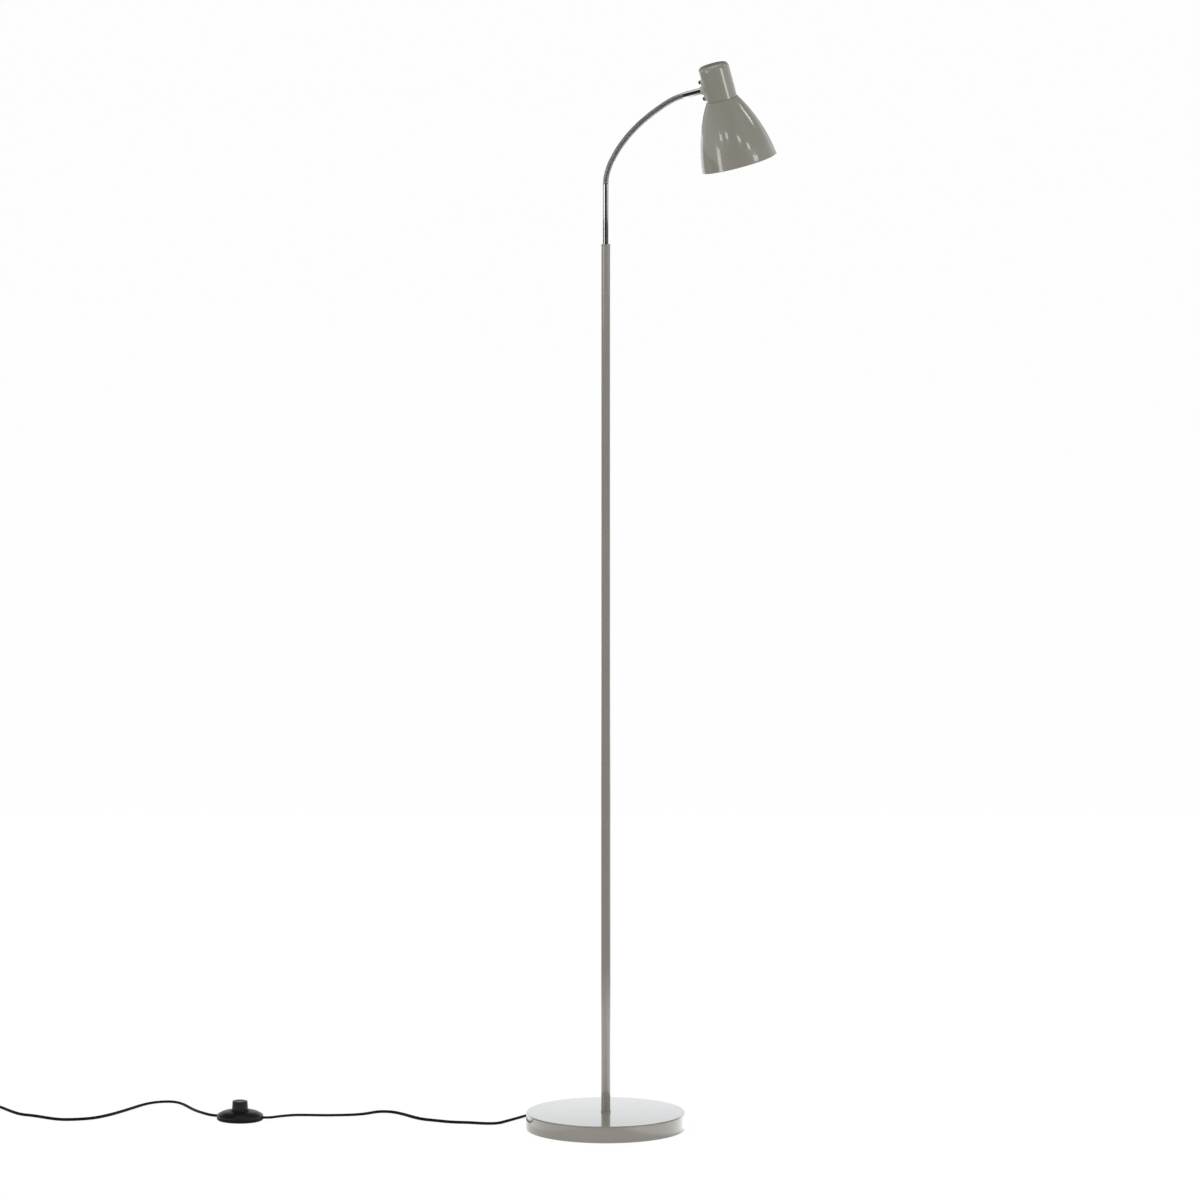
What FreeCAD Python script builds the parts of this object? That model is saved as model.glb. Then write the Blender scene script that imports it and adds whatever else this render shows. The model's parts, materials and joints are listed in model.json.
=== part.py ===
"""Gooseneck reading floor lamp: a weighted disc base, a three-piece pole, a flexible neck, a spun
bell shade on a collar, and a mains cord with a foot switch and a plug.

Millimetres and degrees. +Z is up, the floor is z = 0, the pole stands on the origin's vertical
and the neck bends over towards +X. The cord leaves the back of the base, at +Y.
"""
import FreeCAD, Part
import math
import os

V = FreeCAD.Vector
UP = V(0, 0, 1)

# ---------------------------------------------------------------- clearances
slip_gap = 0.1          # radial, between a turned piece and the bore that it sits in
thread_gap = 0.25       # radial, between a threaded piece and its hole
loose_gap = 0.4         # round a plate or disc that drops into a shell
running_gap = 0.35      # round the moving switch button
cutter_reach = 1.0      # how far a hole's cutter runs past the wall that it cuts

# ---------------------------------------------------------------- base
base_diameter = 222.0
base_height = 24.0
base_wall = 1.0
base_edge_radius = 1.5
skirt_lift = 0.8        # the cover's lower edge over the floor
pad_thickness = 1.5
pad_inset = 3.0         # the pad's rim inside the plate's rim
plate_thickness = 1.0
weight_thickness = 13.0
nut_recess_diameter = 46.0
nut_recess_depth = 6.0
clamp_inset = 19.0      # the cord clamp's middle inside the cover's rim
clamp_length = 9.0
clamp_width = 22.0
clamp_screw_spacing = 14.0
clamp_screw_grip = 6.0  # how far its screws go up into the weight

# ---------------------------------------------------------------- centre fastening
stud_diameter = 10.0
stud_bore = 7.0
stud_rise = 42.0        # how far the stud stands up inside the pole
nut_across_flats = 17.0
nut_thickness = 5.0
washer_diameter = 30.0
washer_thickness = 1.5

# ---------------------------------------------------------------- pole
pole_diameter = 13.0
pole_wall = 1.25
pole_section_length = 405.0
pole_edge_chamfer = 0.35
foot_ring_diameter = 14.4
foot_ring_height = 2.0
coupler_length = 50.0
top_bush_depth = 18.0
top_bush_flange = 1.6
top_bush_bevel = 0.6

# ---------------------------------------------------------------- flexible neck
flex_diameter = 8.0
flex_bore = 5.2
flex_length = 170.0     # from the sleeve's mouth to the ferrule's mouth
neck_bends = (16, 10, 6, 6, 5, 5, 4, 3, 6, 14)   # how the neck is set, joint by joint
turns_per_link = 3      # wound turns that stand together as one stiff link
turn_groove_depth = 0.35
ball_overhang = 0.25    # the joint ball's radius beyond the neck's own
ball_gap = 0.15
cup_rim = 0.3
sleeve_diameter = 9.0
sleeve_length = 84.0    # the part that shows over the pole
sleeve_socket = 30.0    # how far the flexible neck goes down into the sleeve
sleeve_edge_bevel = 0.3
ferrule_length = 25.0   # the part that shows
ferrule_socket = 14.0

# ---------------------------------------------------------------- lamp head
collar_diameter = 43.0
collar_length = 50.0
collar_wall = 0.8
collar_edge_radius = 8.5
arm_below_collar_top = 32.0
shade_wall = 0.8
shade_depth = 92.4      # from the collar's lower edge to the rim
shade_rim_diameter = 107.4
shade_shoulder_diameter = 45.6
shade_shoulder_drop = 1.6
shade_waist_diameter = 85.0
shade_waist_drop = 43.6
shade_hem = 2.5
shade_neck_length = 3.0
shade_neck_gap = 0.4    # radial, between the shade's neck and the collar
shade_mouth_diameter = 28.4
shade_steps = 10        # bands that the bell's curve is spun in

# ---------------------------------------------------------------- arm fixing on the collar
saddle_length = 30.0
saddle_width = 11.0
saddle_thickness = 1.4
saddle_boss_diameter = 11.0
saddle_boss_length = 2.6
saddle_screw_spacing = 23.5
screw_shank_diameter = 3.0
screw_head_diameter = 5.4
screw_head_height = 2.6
screw_tip = 1.0         # how far the saddle's screws pass through the bracket
arm_nipple_diameter = 7.6
arm_nipple_bore = 4.4
arm_nut_flats = 11.0
arm_nut_thickness = 3.0
arm_nipple_end = 0.5    # how far the nipple passes through its nut
bracket_thickness = 1.5
bracket_width = 12.0
bracket_drop = 14.5
bracket_rise = 18.5     # up to the underside of its tab

# ---------------------------------------------------------------- lamp holder and bulb
holder_diameter = 27.0
holder_shoulder_diameter = 33.0
holder_shoulder_height = 5.0
holder_neck_diameter = 17.0
holder_neck_height = 11.0
holder_neck_slope = 3.0
holder_shoulder_slope = 1.5
holder_nipple_grip = 6.5    # how far the nipple goes down into the holder
holder_nipple_end = 1.0     # how far it passes through its nut
holder_skirt = 18.0     # below the shade's flange
holder_bore = 17.0
holder_bore_depth = 23.0
holder_ring_diameter = 35.0
holder_ring_height = 7.0
holder_ring_lip = 2.0   # width and height of the ring's flange
holder_ring_step = 0.5
holder_nut_flats = 14.0
holder_nut_thickness = 3.0
shell_wall = 1.1
shell_length = 17.0
contact_diameter = 6.0
contact_thickness = 1.2
cap_diameter = 13.9
cap_length = 21.0
cap_tip_height = 4.0
cap_tip_step = 2.5
bulb_diameter = 45.0
bulb_length = 78.0
bulb_neck_diameter = 20.0
bulb_neck_length = 12.0
bulb_foot_diameter = 15.0   # where the globe meets the cap
bulb_neck_meet = 0.62   # the globe's radius there, as a share of its largest

# ---------------------------------------------------------------- foot switch
switch_x = -511.0
switch_y = 67.5
switch_turn = -12.0     # about the vertical; the lamp-side port is at its +X end
switch_diameter = 65.0
switch_wall = 2.0
switch_base_height = 5.0
switch_foot_bevel = 1.2
switch_dome_height = 14.5
switch_shoulder = 1.5   # straight rim of the cover over the base
switch_dome_waist = (24.0, 11.8)    # radius and height half-way up the dome
switch_lip_width = 1.6  # the crown round the button
switch_lip_bevel = 0.6
switch_dome_steps = 6
port_height = 4.2
port_depth = 3.0
button_diameter = 22.6
button_top_diameter = 21.2
button_top = 26.7
button_edge_radius = 1.4
button_flange_diameter = 25.0
button_flange_height = 1.5
button_under = 10.2     # the button's underside over the floor
button_bore_diameter = 16.6
button_roof = 3.0
plunger_diameter = 6.0
cartridge_diameter = 15.0
cartridge_height = 12.5
cartridge_well = 5.0    # height of the bottom of the cartridge's bore
cartridge_bevel = 1.0
switch_screw_spacing = 40.0
switch_post_diameter = 6.0
switch_screw_diameter = 2.8
switch_screw_head = 5.4
switch_screw_head_height = 1.6
switch_screw_tip = 8.5

# ---------------------------------------------------------------- mains cord
cord_diameter = 5.2
lead_diameter = 3.4     # the cores inside the lamp, without their sheath
gland_angle = 95.0      # about the vertical, counted from +X
gland_height = 6.5
gland_inner_diameter = 6.8
gland_inner_length = 6.0
gland_flange_diameter = 10.0
gland_flange_thickness = 1.5
gland_taper_length = 20.0
gland_taper_end = 6.8
gland_flange_bevel = 1.0
lead_bend_radius = 7.0
cord_on_floor = cord_diameter / 2

# ---------------------------------------------------------------- plug, coil and tie
coil_x = -893.0
coil_y = 176.0
coil_inner_radius = 23.1
coil_outer_radius = 34.1
coil_base = 0.8
coil_height = 11.0
coil_edge = 2.0
tie_width = 9.0
tie_thickness = 0.7
tie_lift = 0.05         # the strap's underside over the floor
tie_angle = 200.0
plug_x = -952.0         # the middle of the plug's rear face
plug_y = 216.0
plug_heading = 172.0    # the way that the pins point
plug_width = 35.3
plug_thickness = 13.7
plug_length = 26.0
plug_rear_width = 15.0
plug_rear_thickness = 11.0
plug_corner = 4.0
plug_face_length = 9.0  # the straight front part of the body
plug_root_depth = 1.0   # how far the pins' insulated roots go into the body
pin_diameter = 4.0
pin_length = 19.0
pin_sleeve_length = 10.0
pin_sleeve_diameter = 3.8
pin_spacing = 18.6
pin_tip_length = 1.0
pin_tip_step = 0.8
relief_length = 22.0
relief_diameter = 9.0
relief_end_diameter = 6.8

# ---------------------------------------------------------------- worked out from the above
base_radius = base_diameter / 2
cover_inner_radius = base_radius - base_wall
weight_top = base_height - base_wall
weight_bottom = weight_top - weight_thickness
recess_top = weight_bottom + nut_recess_depth
stud_bottom = recess_top - washer_thickness - nut_thickness
plate_top = pad_thickness + plate_thickness
pole_foot = base_height + foot_ring_height
pole_bore_radius = pole_diameter / 2 - pole_wall
pole_seams = [pole_foot + i * pole_section_length for i in range(4)]
pole_top = pole_seams[3]
flex_radius = flex_diameter / 2
sleeve_radius = sleeve_diameter / 2
sleeve_bore = flex_radius + slip_gap
sleeve_mouth = pole_top + top_bush_flange + sleeve_length
link_pitch = flex_length / len(neck_bends)
ball_radius = flex_radius + ball_overhang
head_tilt = sum(neck_bends) - 90.0
arm_reach = ferrule_length + saddle_boss_length + saddle_thickness + collar_diameter / 2
collar_top = arm_below_collar_top
collar_foot = collar_top - collar_length
rim_height = collar_foot - shade_depth
flange_height = collar_foot + shade_neck_length
holder_mouth = flange_height - shade_wall - holder_skirt
holder_well = holder_mouth + holder_bore_depth
bulb_tip = holder_well - contact_thickness
bulb_end = bulb_tip - bulb_length
clamp_radius = base_radius - clamp_inset
gland_outlet = base_radius + gland_flange_thickness + gland_taper_length


# ================================================================ helpers
def outline(points):
    """Closed wire in XZ. A point is (x, z), or (mid_x, mid_z, x, z) for an arc through mid."""
    edges = []
    here = points[0]
    for step in list(points[1:]) + [points[0]]:
        start = V(here[0], 0, here[1])
        end = V(step[-2], 0, step[-1])
        if len(step) == 4:
            edges.append(Part.Arc(start, V(step[0], 0, step[1]), end).toShape())
        elif start.distanceToPoint(end) > 1e-6:
            edges.append(Part.LineSegment(start, end).toShape())
        here = (step[-2], step[-1])
    return Part.Wire(edges)


class ArcThrough:
    """Circle through three points (x, z), from which offset stretches are taken in equal steps."""

    def __init__(self, start, middle, end):
        circle = Part.Circle(*[V(p[0], 0, p[1]) for p in (start, middle, end)])
        self.centre = circle.Center
        self.radius = circle.Radius

    def angle(self, point):
        return math.atan2(point[1] - self.centre.z, point[0] - self.centre.x)

    def at(self, angle, offset=0.0):
        reach = self.radius - offset
        return self.centre.x + reach * math.cos(angle), self.centre.z + reach * math.sin(angle)

    def steps(self, start, end, count, offset=0.0):
        """Points from start to end along the circle, moved towards its centre by offset."""
        first = self.angle(start)
        turn = (self.angle(end) - first) / count
        return [self.at(first + i * turn, offset) for i in range(count + 1)]


def turned(points):
    """Solid of revolution about Z from a closed outline of (radius, z)."""
    solid = Part.Face(outline(points)).revolve(V(0, 0, 0), UP, 360)
    return solid if solid.Volume > 0 else solid.reversed()


def rod(radius, bottom, top, x=0.0, y=0.0):
    return Part.makeCylinder(radius, top - bottom, V(x, y, bottom))


def pipe(outer, inner, bottom, top):
    return turned([(inner, bottom), (outer, bottom), (outer, top), (inner, top)])


def bevelled_pipe(outer, inner, bottom, top, bevel):
    """A tube whose outer edges are broken by a small bevel."""
    return turned([
        (inner, bottom), (outer - bevel, bottom), (outer, bottom + bevel),
        (outer, top - bevel), (outer - bevel, top), (inner, top),
    ])


def hexagon(across_flats, bottom, top, bore_radius):
    corner = across_flats / 2 / math.cos(math.radians(30))
    ring = [V(corner * math.cos(a), corner * math.sin(a), bottom)
            for a in (math.radians(60 * i) for i in range(7))]
    nut = Part.Face(Part.makePolygon(ring)).extrude(V(0, 0, top - bottom))
    return nut.cut(rod(bore_radius, bottom - cutter_reach, top + cutter_reach))


def lying(shape, x):
    """Turn a piece made along +Z so that it runs along +X, with its zero at x."""
    copy = shape.copy()
    copy.Placement = FreeCAD.Placement(V(x, 0, 0), FreeCAD.Rotation(V(0, 1, 0), 90))
    return copy


def placed(shape, place):
    copy = shape.copy()
    copy.Placement = place.multiply(copy.Placement)
    return copy


def arc_corner(before, corner, after):
    """(start, middle, end, radius) of the arc that rounds one point of a cord's route."""
    back = before - corner
    ahead = after - corner
    shorter = min(back.Length, ahead.Length)
    back.normalize()
    ahead.normalize()
    half_turn = (math.pi - back.getAngle(ahead)) / 2
    reach = 0.45 * shorter
    radius = reach / math.tan(half_turn)
    start = corner + back * reach
    end = corner + ahead * reach
    middle_way = back + ahead
    middle_way.normalize()
    depth = radius / math.cos(half_turn) - radius
    return start, corner + middle_way * depth, end, radius


def cord_path(points):
    """Straight runs joined by tangent arcs, each as large as its two runs allow."""
    points = [V(*p) for p in points]
    edges = []
    radii = []
    here = points[0]
    for before, corner, after in zip(points, points[1:], points[2:]):
        start, middle, end, radius = arc_corner(before, corner, after)
        edges.append(Part.LineSegment(here, start).toShape())
        edges.append(Part.Arc(start, middle, end).toShape())
        radii.append(radius)
        here = end
    edges.append(Part.LineSegment(here, points[-1]).toShape())
    return Part.Wire(edges), radii


def cord_tube(points, diameter, label):
    """A plain tube along the route; its length and bends are printed."""
    path, radii = cord_path(points)
    start = V(*points[0])
    ring = Part.Wire(Part.makeCircle(diameter / 2, start, V(*points[1]) - start))
    tube = path.makePipeShell([ring], True, False)
    section = math.pi * (diameter / 2) ** 2
    print(f"{label}: {path.Length:.0f} mm, volume ratio {tube.Volume / section / path.Length:.4f},"
          f" radii {' '.join(f'{r:.0f}' for r in radii)}")
    return tube


# ================================================================ base and pole
def base_cover():
    """Pressed steel cup with a small edge radius, a centre hole and the gland's hole."""
    edge = base_edge_radius
    inner_edge = edge - base_wall
    bevel = 1 - math.sqrt(0.5)
    shell = turned([
        (stud_diameter / 2 + thread_gap, weight_top),
        (cover_inner_radius - inner_edge, weight_top),
        (cover_inner_radius, weight_top - inner_edge),
        (cover_inner_radius, skirt_lift),
        (base_radius, skirt_lift),
        (base_radius, base_height - edge),
        (base_radius - edge * bevel, base_height - edge * bevel, base_radius - edge, base_height),
        (stud_diameter / 2 + thread_gap, base_height),
    ])
    hole = rod(gland_inner_diameter / 2 + slip_gap, cover_inner_radius - cutter_reach,
               base_radius + cutter_reach)
    return shell.cut(to_gland(hole))


def to_gland(shape):
    """Turn a piece made along +Z so that it runs outwards along the gland's axis."""
    turn = FreeCAD.Rotation(V(0, 0, 1), gland_angle).multiply(FreeCAD.Rotation(V(0, 1, 0), 90))
    return placed(shape, FreeCAD.Placement(V(0, 0, gland_height), turn))


def base_weight():
    """Cast disc under the cover, recessed below for the nut, with the clamp's screw holes."""
    radius = cover_inner_radius - base_edge_radius
    hole = stud_diameter / 2 + thread_gap
    disc = turned([
        (hole, recess_top), (nut_recess_diameter / 2, recess_top),
        (nut_recess_diameter / 2, weight_bottom), (radius, weight_bottom),
        (radius, weight_top), (hole, weight_top),
    ])
    for x, y in clamp_screw_places():
        disc = disc.cut(rod(screw_shank_diameter / 2 + slip_gap, weight_bottom - cutter_reach,
                            weight_bottom + clamp_screw_grip + cutter_reach, x, y))
    return disc


def clamp_screw_places():
    angle = math.radians(gland_angle)
    out = V(math.cos(angle), math.sin(angle), 0)
    side = V(-math.sin(angle), math.cos(angle), 0)
    places = [out * clamp_radius + side * (sign * clamp_screw_spacing / 2) for sign in (1, -1)]
    return [(p.x, p.y) for p in places]


def cord_clamp():
    """Block screwed up against the weight; it grips the leads as they come in."""
    height = weight_bottom - plate_top - 2 * loose_gap
    block = Part.makeBox(clamp_length, clamp_width, height,
                         V(clamp_radius - clamp_length / 2, -clamp_width / 2,
                           weight_bottom - height))
    block = placed(block, FreeCAD.Placement(V(0, 0, 0), FreeCAD.Rotation(UP, gland_angle)))
    channel = rod(lead_diameter / 2 + slip_gap, clamp_radius - clamp_length,
                  clamp_radius + clamp_length)
    block = block.cut(to_gland(channel))
    foot = weight_bottom - height
    for x, y in clamp_screw_places():
        block = block.cut(clamp_screw(foot, x, y, slip_gap))
    return block


def clamp_screw(foot, x, y, gap=0.0):
    """Countersunk screw, its head flush with the clamp's underside."""
    shank = screw_shank_diameter / 2 + gap
    head = screw_head_diameter / 2 + gap
    tip = weight_bottom + clamp_screw_grip
    screw = turned([
        (0, foot), (head, foot), (shank, foot + head - shank), (shank, tip), (0, tip),
    ])
    return placed(screw, FreeCAD.Placement(V(x, y, 0), FreeCAD.Rotation()))


def clamp_screws():
    foot = plate_top + 2 * loose_gap
    return Part.makeCompound([clamp_screw(foot, x, y) for x, y in clamp_screw_places()])


def cord_gland():
    """Moulded bush in the cover's back wall, with a tapered sleeve outside that guards the bend."""
    wall = base_radius
    flange = wall + gland_flange_thickness
    lead = lead_diameter / 2 + slip_gap
    return to_gland(turned([
        (lead, wall - gland_inner_length), (gland_inner_diameter / 2, wall - gland_inner_length),
        (gland_inner_diameter / 2, wall + loose_gap), (gland_flange_diameter / 2, wall + loose_gap),
        (gland_flange_diameter / 2, flange),
        (gland_flange_diameter / 2 - gland_flange_bevel, flange + gland_flange_bevel),
        (gland_taper_end / 2, gland_outlet), (lead, gland_outlet),
    ]))


def feed_lead():
    """The cores' run from the gland to the base's middle and up the pole to the neck."""
    angle = math.radians(gland_angle)
    out = V(math.cos(angle), math.sin(angle), 0)
    outer_end = out * gland_outlet + UP * gland_height
    bend_start = out * lead_bend_radius + UP * gland_height
    bend_end = UP * (gland_height + lead_bend_radius)
    centre = bend_start + UP * lead_bend_radius
    bend_middle = centre - (out + UP) * (lead_bend_radius * math.sqrt(0.5))
    path = Part.Wire([
        Part.LineSegment(outer_end, bend_start).toShape(),
        Part.Arc(bend_start, bend_middle, bend_end).toShape(),
        Part.LineSegment(bend_end, UP * (sleeve_mouth - sleeve_socket / 2)).toShape(),
    ])
    ring = Part.Wire(Part.makeCircle(lead_diameter / 2, outer_end, out))
    return path.makePipeShell([ring], True, False)


def pole_couplers():
    """Threaded tube inside each seam between two pole sections."""
    half = coupler_length / 2
    return Part.makeCompound([
        pipe(stud_diameter / 2, stud_bore / 2, seam - half, seam + half)
        for seam in pole_seams[1:3]
    ])


def pole_top_bush():
    """Turned plug that closes the pole and holds the neck's sleeve."""
    bore = sleeve_radius + slip_gap
    plug = pole_bore_radius - slip_gap
    face = pole_top + top_bush_flange
    edge = top_bush_bevel
    rim = pole_diameter / 2
    return turned([
        (bore, pole_top - top_bush_depth), (plug, pole_top - top_bush_depth), (plug, pole_top),
        (rim, pole_top), (rim, face - edge), (rim - edge, face), (bore, face),
    ])


# ================================================================ flexible neck
def neck_piece(cup, ball, below=0.0, above=0.0):
    """One stiff length of wound turns along +Z, with its lower joint's centre at z = 0.

    The turns are crests with V grooves between them. A length ends in a bevelled ball nose over
    its upper joint, which the next length's cup takes with a small gap, so a seam looks like one
    more groove. Without a cup it starts at -below, and without a ball it ends at pitch - above.
    """
    bore = flex_bore / 2
    groove_bottom = math.sqrt(ball_radius ** 2 - flex_radius ** 2)
    cup_radius = ball_radius + ball_gap
    rim = flex_radius - cup_rim
    slope = (math.asin(rim / cup_radius) + math.asin(bore / cup_radius)) / 2
    cup_rim_height = (cup_radius - rim * math.sin(slope)) / math.cos(slope)
    cup_bore_height = (cup_radius - bore * math.sin(slope)) / math.cos(slope)
    turn = link_pitch / turns_per_link
    half_groove = (cup_rim_height - groove_bottom) / 2
    first_groove = (cup_rim_height + groove_bottom) / 2

    if cup:
        points = [(bore, cup_bore_height), (rim, cup_rim_height), (flex_radius, cup_rim_height)]
        start = 1
    else:
        points = [(bore, -below), (flex_radius, -below)]
        start = turns_per_link - 1 if below else 0
    end = turns_per_link if ball else 1
    if cup and not ball:
        end = 1 + int((link_pitch / 2) / turn)
    for i in range(start, end):
        middle = first_groove + i * turn
        points += [(flex_radius, middle - half_groove),
                   (flex_radius - turn_groove_depth, middle),
                   (flex_radius, middle + half_groove)]
    if ball:
        ball_top = link_pitch + math.sqrt(ball_radius ** 2 - bore ** 2)
        points += [(flex_radius, link_pitch + groove_bottom), (bore, ball_top)]
    else:
        points += [(flex_radius, link_pitch - above), (bore, link_pitch - above)]
    return turned(points)


def neck_frames():
    """Placements of the neck's lengths as it is set: the foot length, each link, the end length."""
    tilt = 0.0
    joint = V(0, 0, sleeve_mouth - link_pitch / 2)
    frames = [FreeCAD.Placement(joint, FreeCAD.Rotation())]
    joint = V(0, 0, sleeve_mouth + link_pitch / 2)
    for bend in neck_bends:
        tilt += bend
        turn = FreeCAD.Rotation(V(0, 1, 0), tilt)
        frames.append(FreeCAD.Placement(joint, turn))
        joint = joint + turn.multVec(UP) * link_pitch
    return frames


neck_places = neck_frames()
neck_end = neck_places[-1].multVec(UP * (link_pitch / 2))
head_turn = FreeCAD.Rotation(V(0, 1, 0), head_tilt)
head_place = FreeCAD.Placement(neck_end + head_turn.multVec(V(arm_reach, 0, 0)), head_turn)


def neck_end_piece():
    """The last turns, which run on into the ferrule."""
    return neck_piece(True, False, above=link_pitch / 2 - ferrule_socket)


# ================================================================ lamp head, in its own frame
# Zero is where the arm's axis meets the head's axis; +Z runs up the collar, the arm is at -X.
def ferrule():
    """Smooth chromed tube from the flexible neck's end to the saddle's boss."""
    start = -arm_reach
    end = -(collar_diameter / 2 + saddle_thickness)
    return lying(bevelled_pipe(sleeve_radius, sleeve_bore, 0, end - start, sleeve_edge_bevel), start)


def drill_arm_holes(shape, start, end):
    """Cut the nipple's hole and the two screw holes through a wall from start to end along X."""
    length = end - start + 2 * cutter_reach
    first = start - cutter_reach
    shape = shape.cut(lying(rod(arm_nipple_diameter / 2 + slip_gap, 0, length), first))
    for z in (saddle_screw_spacing / 2, -saddle_screw_spacing / 2):
        hole = lying(rod(screw_shank_diameter / 2 + slip_gap, 0, length), first)
        shape = shape.cut(placed(hole, FreeCAD.Placement(V(0, 0, z), FreeCAD.Rotation())))
    return shape


def arm_saddle():
    """Plate that hugs the collar, with a boss that takes the ferrule and two screw holes."""
    inner = collar_diameter / 2
    outer = inner + saddle_thickness
    half = saddle_length / 2
    corner = 0.9 * saddle_width / 2
    block = Part.makeBox(outer, saddle_width, saddle_length,
                         V(-outer - cutter_reach, -saddle_width / 2, -half))
    ends = [e for e in block.Edges if abs(e.tangentAt(e.FirstParameter).x) > 0.9]
    plate = pipe(outer, inner, -half, half).common(block.makeFillet(corner, ends))
    boss = lying(rod(saddle_boss_diameter / 2, 0, saddle_boss_length + saddle_thickness / 2),
                 -outer - saddle_boss_length)
    saddle = plate.fuse(boss.cut(rod(inner + slip_gap, -half, half)))
    saddle = saddle.cut(lying(rod(sleeve_radius + slip_gap, 0, saddle_boss_length),
                              -outer - saddle_boss_length))
    return drill_arm_holes(saddle, -outer, -inner).removeSplitter()


def saddle_screws():
    """Two round-headed screws through the saddle and the collar into the bracket."""
    seat = collar_diameter / 2 + saddle_thickness
    bracket_face = bracket_outer_face() - bracket_thickness
    shank = screw_shank_diameter / 2
    head = screw_head_diameter / 2
    length = seat - bracket_face + screw_tip
    screw = turned([
        (0, 0), (0.5 * head, 0), (head, 0.6 * screw_head_height), (head, screw_head_height),
        (shank, screw_head_height), (shank, screw_head_height + length),
        (0, screw_head_height + length),
    ])
    screw = lying(screw, -seat - screw_head_height)
    return Part.makeCompound([
        placed(screw, FreeCAD.Placement(V(0, 0, z), FreeCAD.Rotation()))
        for z in (saddle_screw_spacing / 2, -saddle_screw_spacing / 2)
    ])


def bracket_outer_face():
    """How far the bracket's flat back can stand from the axis inside the round collar."""
    inner = collar_diameter / 2 - collar_wall
    return math.sqrt(inner ** 2 - (bracket_width / 2) ** 2) - slip_gap


def holder_bracket():
    """Bent strip: its back is screwed to the saddle and its tab carries the lamp holder."""
    back = -bracket_outer_face()
    half = bracket_width / 2
    top = bracket_rise + bracket_thickness
    upright = Part.makeBox(bracket_thickness, bracket_width, top + bracket_drop,
                           V(back, -half, -bracket_drop))
    tab = Part.makeBox(-back, bracket_width, bracket_thickness, V(back, -half, bracket_rise))
    end = rod(half, bracket_rise, top)
    strip = upright.fuse([tab, end])
    strip = strip.cut(rod(stud_diameter / 2 + slip_gap, bracket_rise - cutter_reach,
                          top + cutter_reach))
    return drill_arm_holes(strip, back, back + bracket_thickness).removeSplitter()


def arm_nipple():
    """Hollow threaded rod that ties the ferrule to the bracket and lets the leads through."""
    start = -arm_reach + ferrule_socket + loose_gap
    end = -bracket_outer_face() + bracket_thickness + arm_nut_thickness + arm_nipple_end
    return lying(pipe(arm_nipple_diameter / 2, arm_nipple_bore / 2, 0, end - start), start)


def arm_nut():
    start = -bracket_outer_face() + bracket_thickness
    nut = hexagon(arm_nut_flats, 0, arm_nut_thickness, arm_nipple_diameter / 2 + slip_gap)
    return lying(nut, start)


def head_lead():
    """The cores from the ferrule's mouth through the nipple to the side of the lamp holder."""
    start = -arm_reach - ball_overhang
    return lying(rod(lead_diameter / 2, 0, -holder_diameter / 2 - slip_gap - start), start)


def collar_cup():
    """Drawn cup over the lamp holder, closed on top, with the arm's holes in its side."""
    outer = collar_diameter / 2
    inner = outer - collar_wall
    roof = collar_top - collar_wall
    edge = collar_edge_radius
    inner_edge = edge - collar_wall
    bevel = 1 - math.sqrt(0.5)
    cup = turned([
        (0, roof), (inner - inner_edge, roof), (inner, roof - inner_edge), (inner, collar_foot),
        (outer, collar_foot), (outer, collar_top - edge),
        (outer - edge * bevel, collar_top - edge * bevel, outer - edge, collar_top),
        (0, collar_top),
    ])
    return drill_arm_holes(cup, -outer, -inner)


def shade():
    """Spun bell: a flange on the lamp holder, a neck inside the collar, one long convex curve
    from the shoulder to the rim, and a hem folded inwards at the rim."""
    wall = shade_wall
    neck = collar_diameter / 2 - collar_wall - shade_neck_gap
    mouth = shade_mouth_diameter / 2
    shoulder = (shade_shoulder_diameter / 2, collar_foot - shade_shoulder_drop)
    waist = (shade_waist_diameter / 2, collar_foot - shade_waist_drop)
    rim = (shade_rim_diameter / 2, rim_height)
    bell = ArcThrough(shoulder, waist, rim)
    hem_angle = bell.angle(rim) + shade_hem / bell.radius
    hem_start = bell.at(hem_angle)
    outside = bell.steps(rim, shoulder, shade_steps)
    inside = bell.steps(shoulder, hem_start, shade_steps, wall)
    hem = [bell.at(hem_angle, 2 * wall), bell.at(bell.angle(rim), 2 * wall)]
    return turned(
        [(mouth, flange_height - wall), (neck - wall, flange_height - wall),
         (neck - wall, collar_foot - wall)]
        + inside + hem + outside
        + [(neck, collar_foot + loose_gap), (neck, flange_height), (mouth, flange_height)]
    )


def lampholder():
    """Moulded holder: neck under the bracket, shoulder on the shade's flange, threaded skirt."""
    body = holder_diameter / 2
    shoulder = holder_shoulder_diameter / 2
    neck = holder_neck_diameter / 2
    neck_foot = bracket_rise - holder_neck_height
    solid = turned([
        (0, holder_well), (holder_bore / 2, holder_well), (holder_bore / 2, holder_mouth),
        (body, holder_mouth), (body, flange_height), (shoulder, flange_height),
        (shoulder, flange_height + holder_shoulder_height),
        (body, flange_height + holder_shoulder_height + holder_shoulder_slope),
        (body, neck_foot - holder_neck_slope),
        (neck, neck_foot), (neck, bracket_rise), (0, bracket_rise),
    ])
    return solid.cut(rod(stud_diameter / 2 + slip_gap, bracket_rise - holder_nipple_grip - loose_gap,
                         bracket_rise + cutter_reach))


def holder_nipple():
    top = bracket_rise + bracket_thickness + holder_nut_thickness + holder_nipple_end
    return pipe(stud_diameter / 2, stud_bore / 2, bracket_rise - holder_nipple_grip, top)


def holder_nut():
    foot = bracket_rise + bracket_thickness
    return hexagon(holder_nut_flats, foot, foot + holder_nut_thickness,
                   stud_diameter / 2 + slip_gap)


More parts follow.
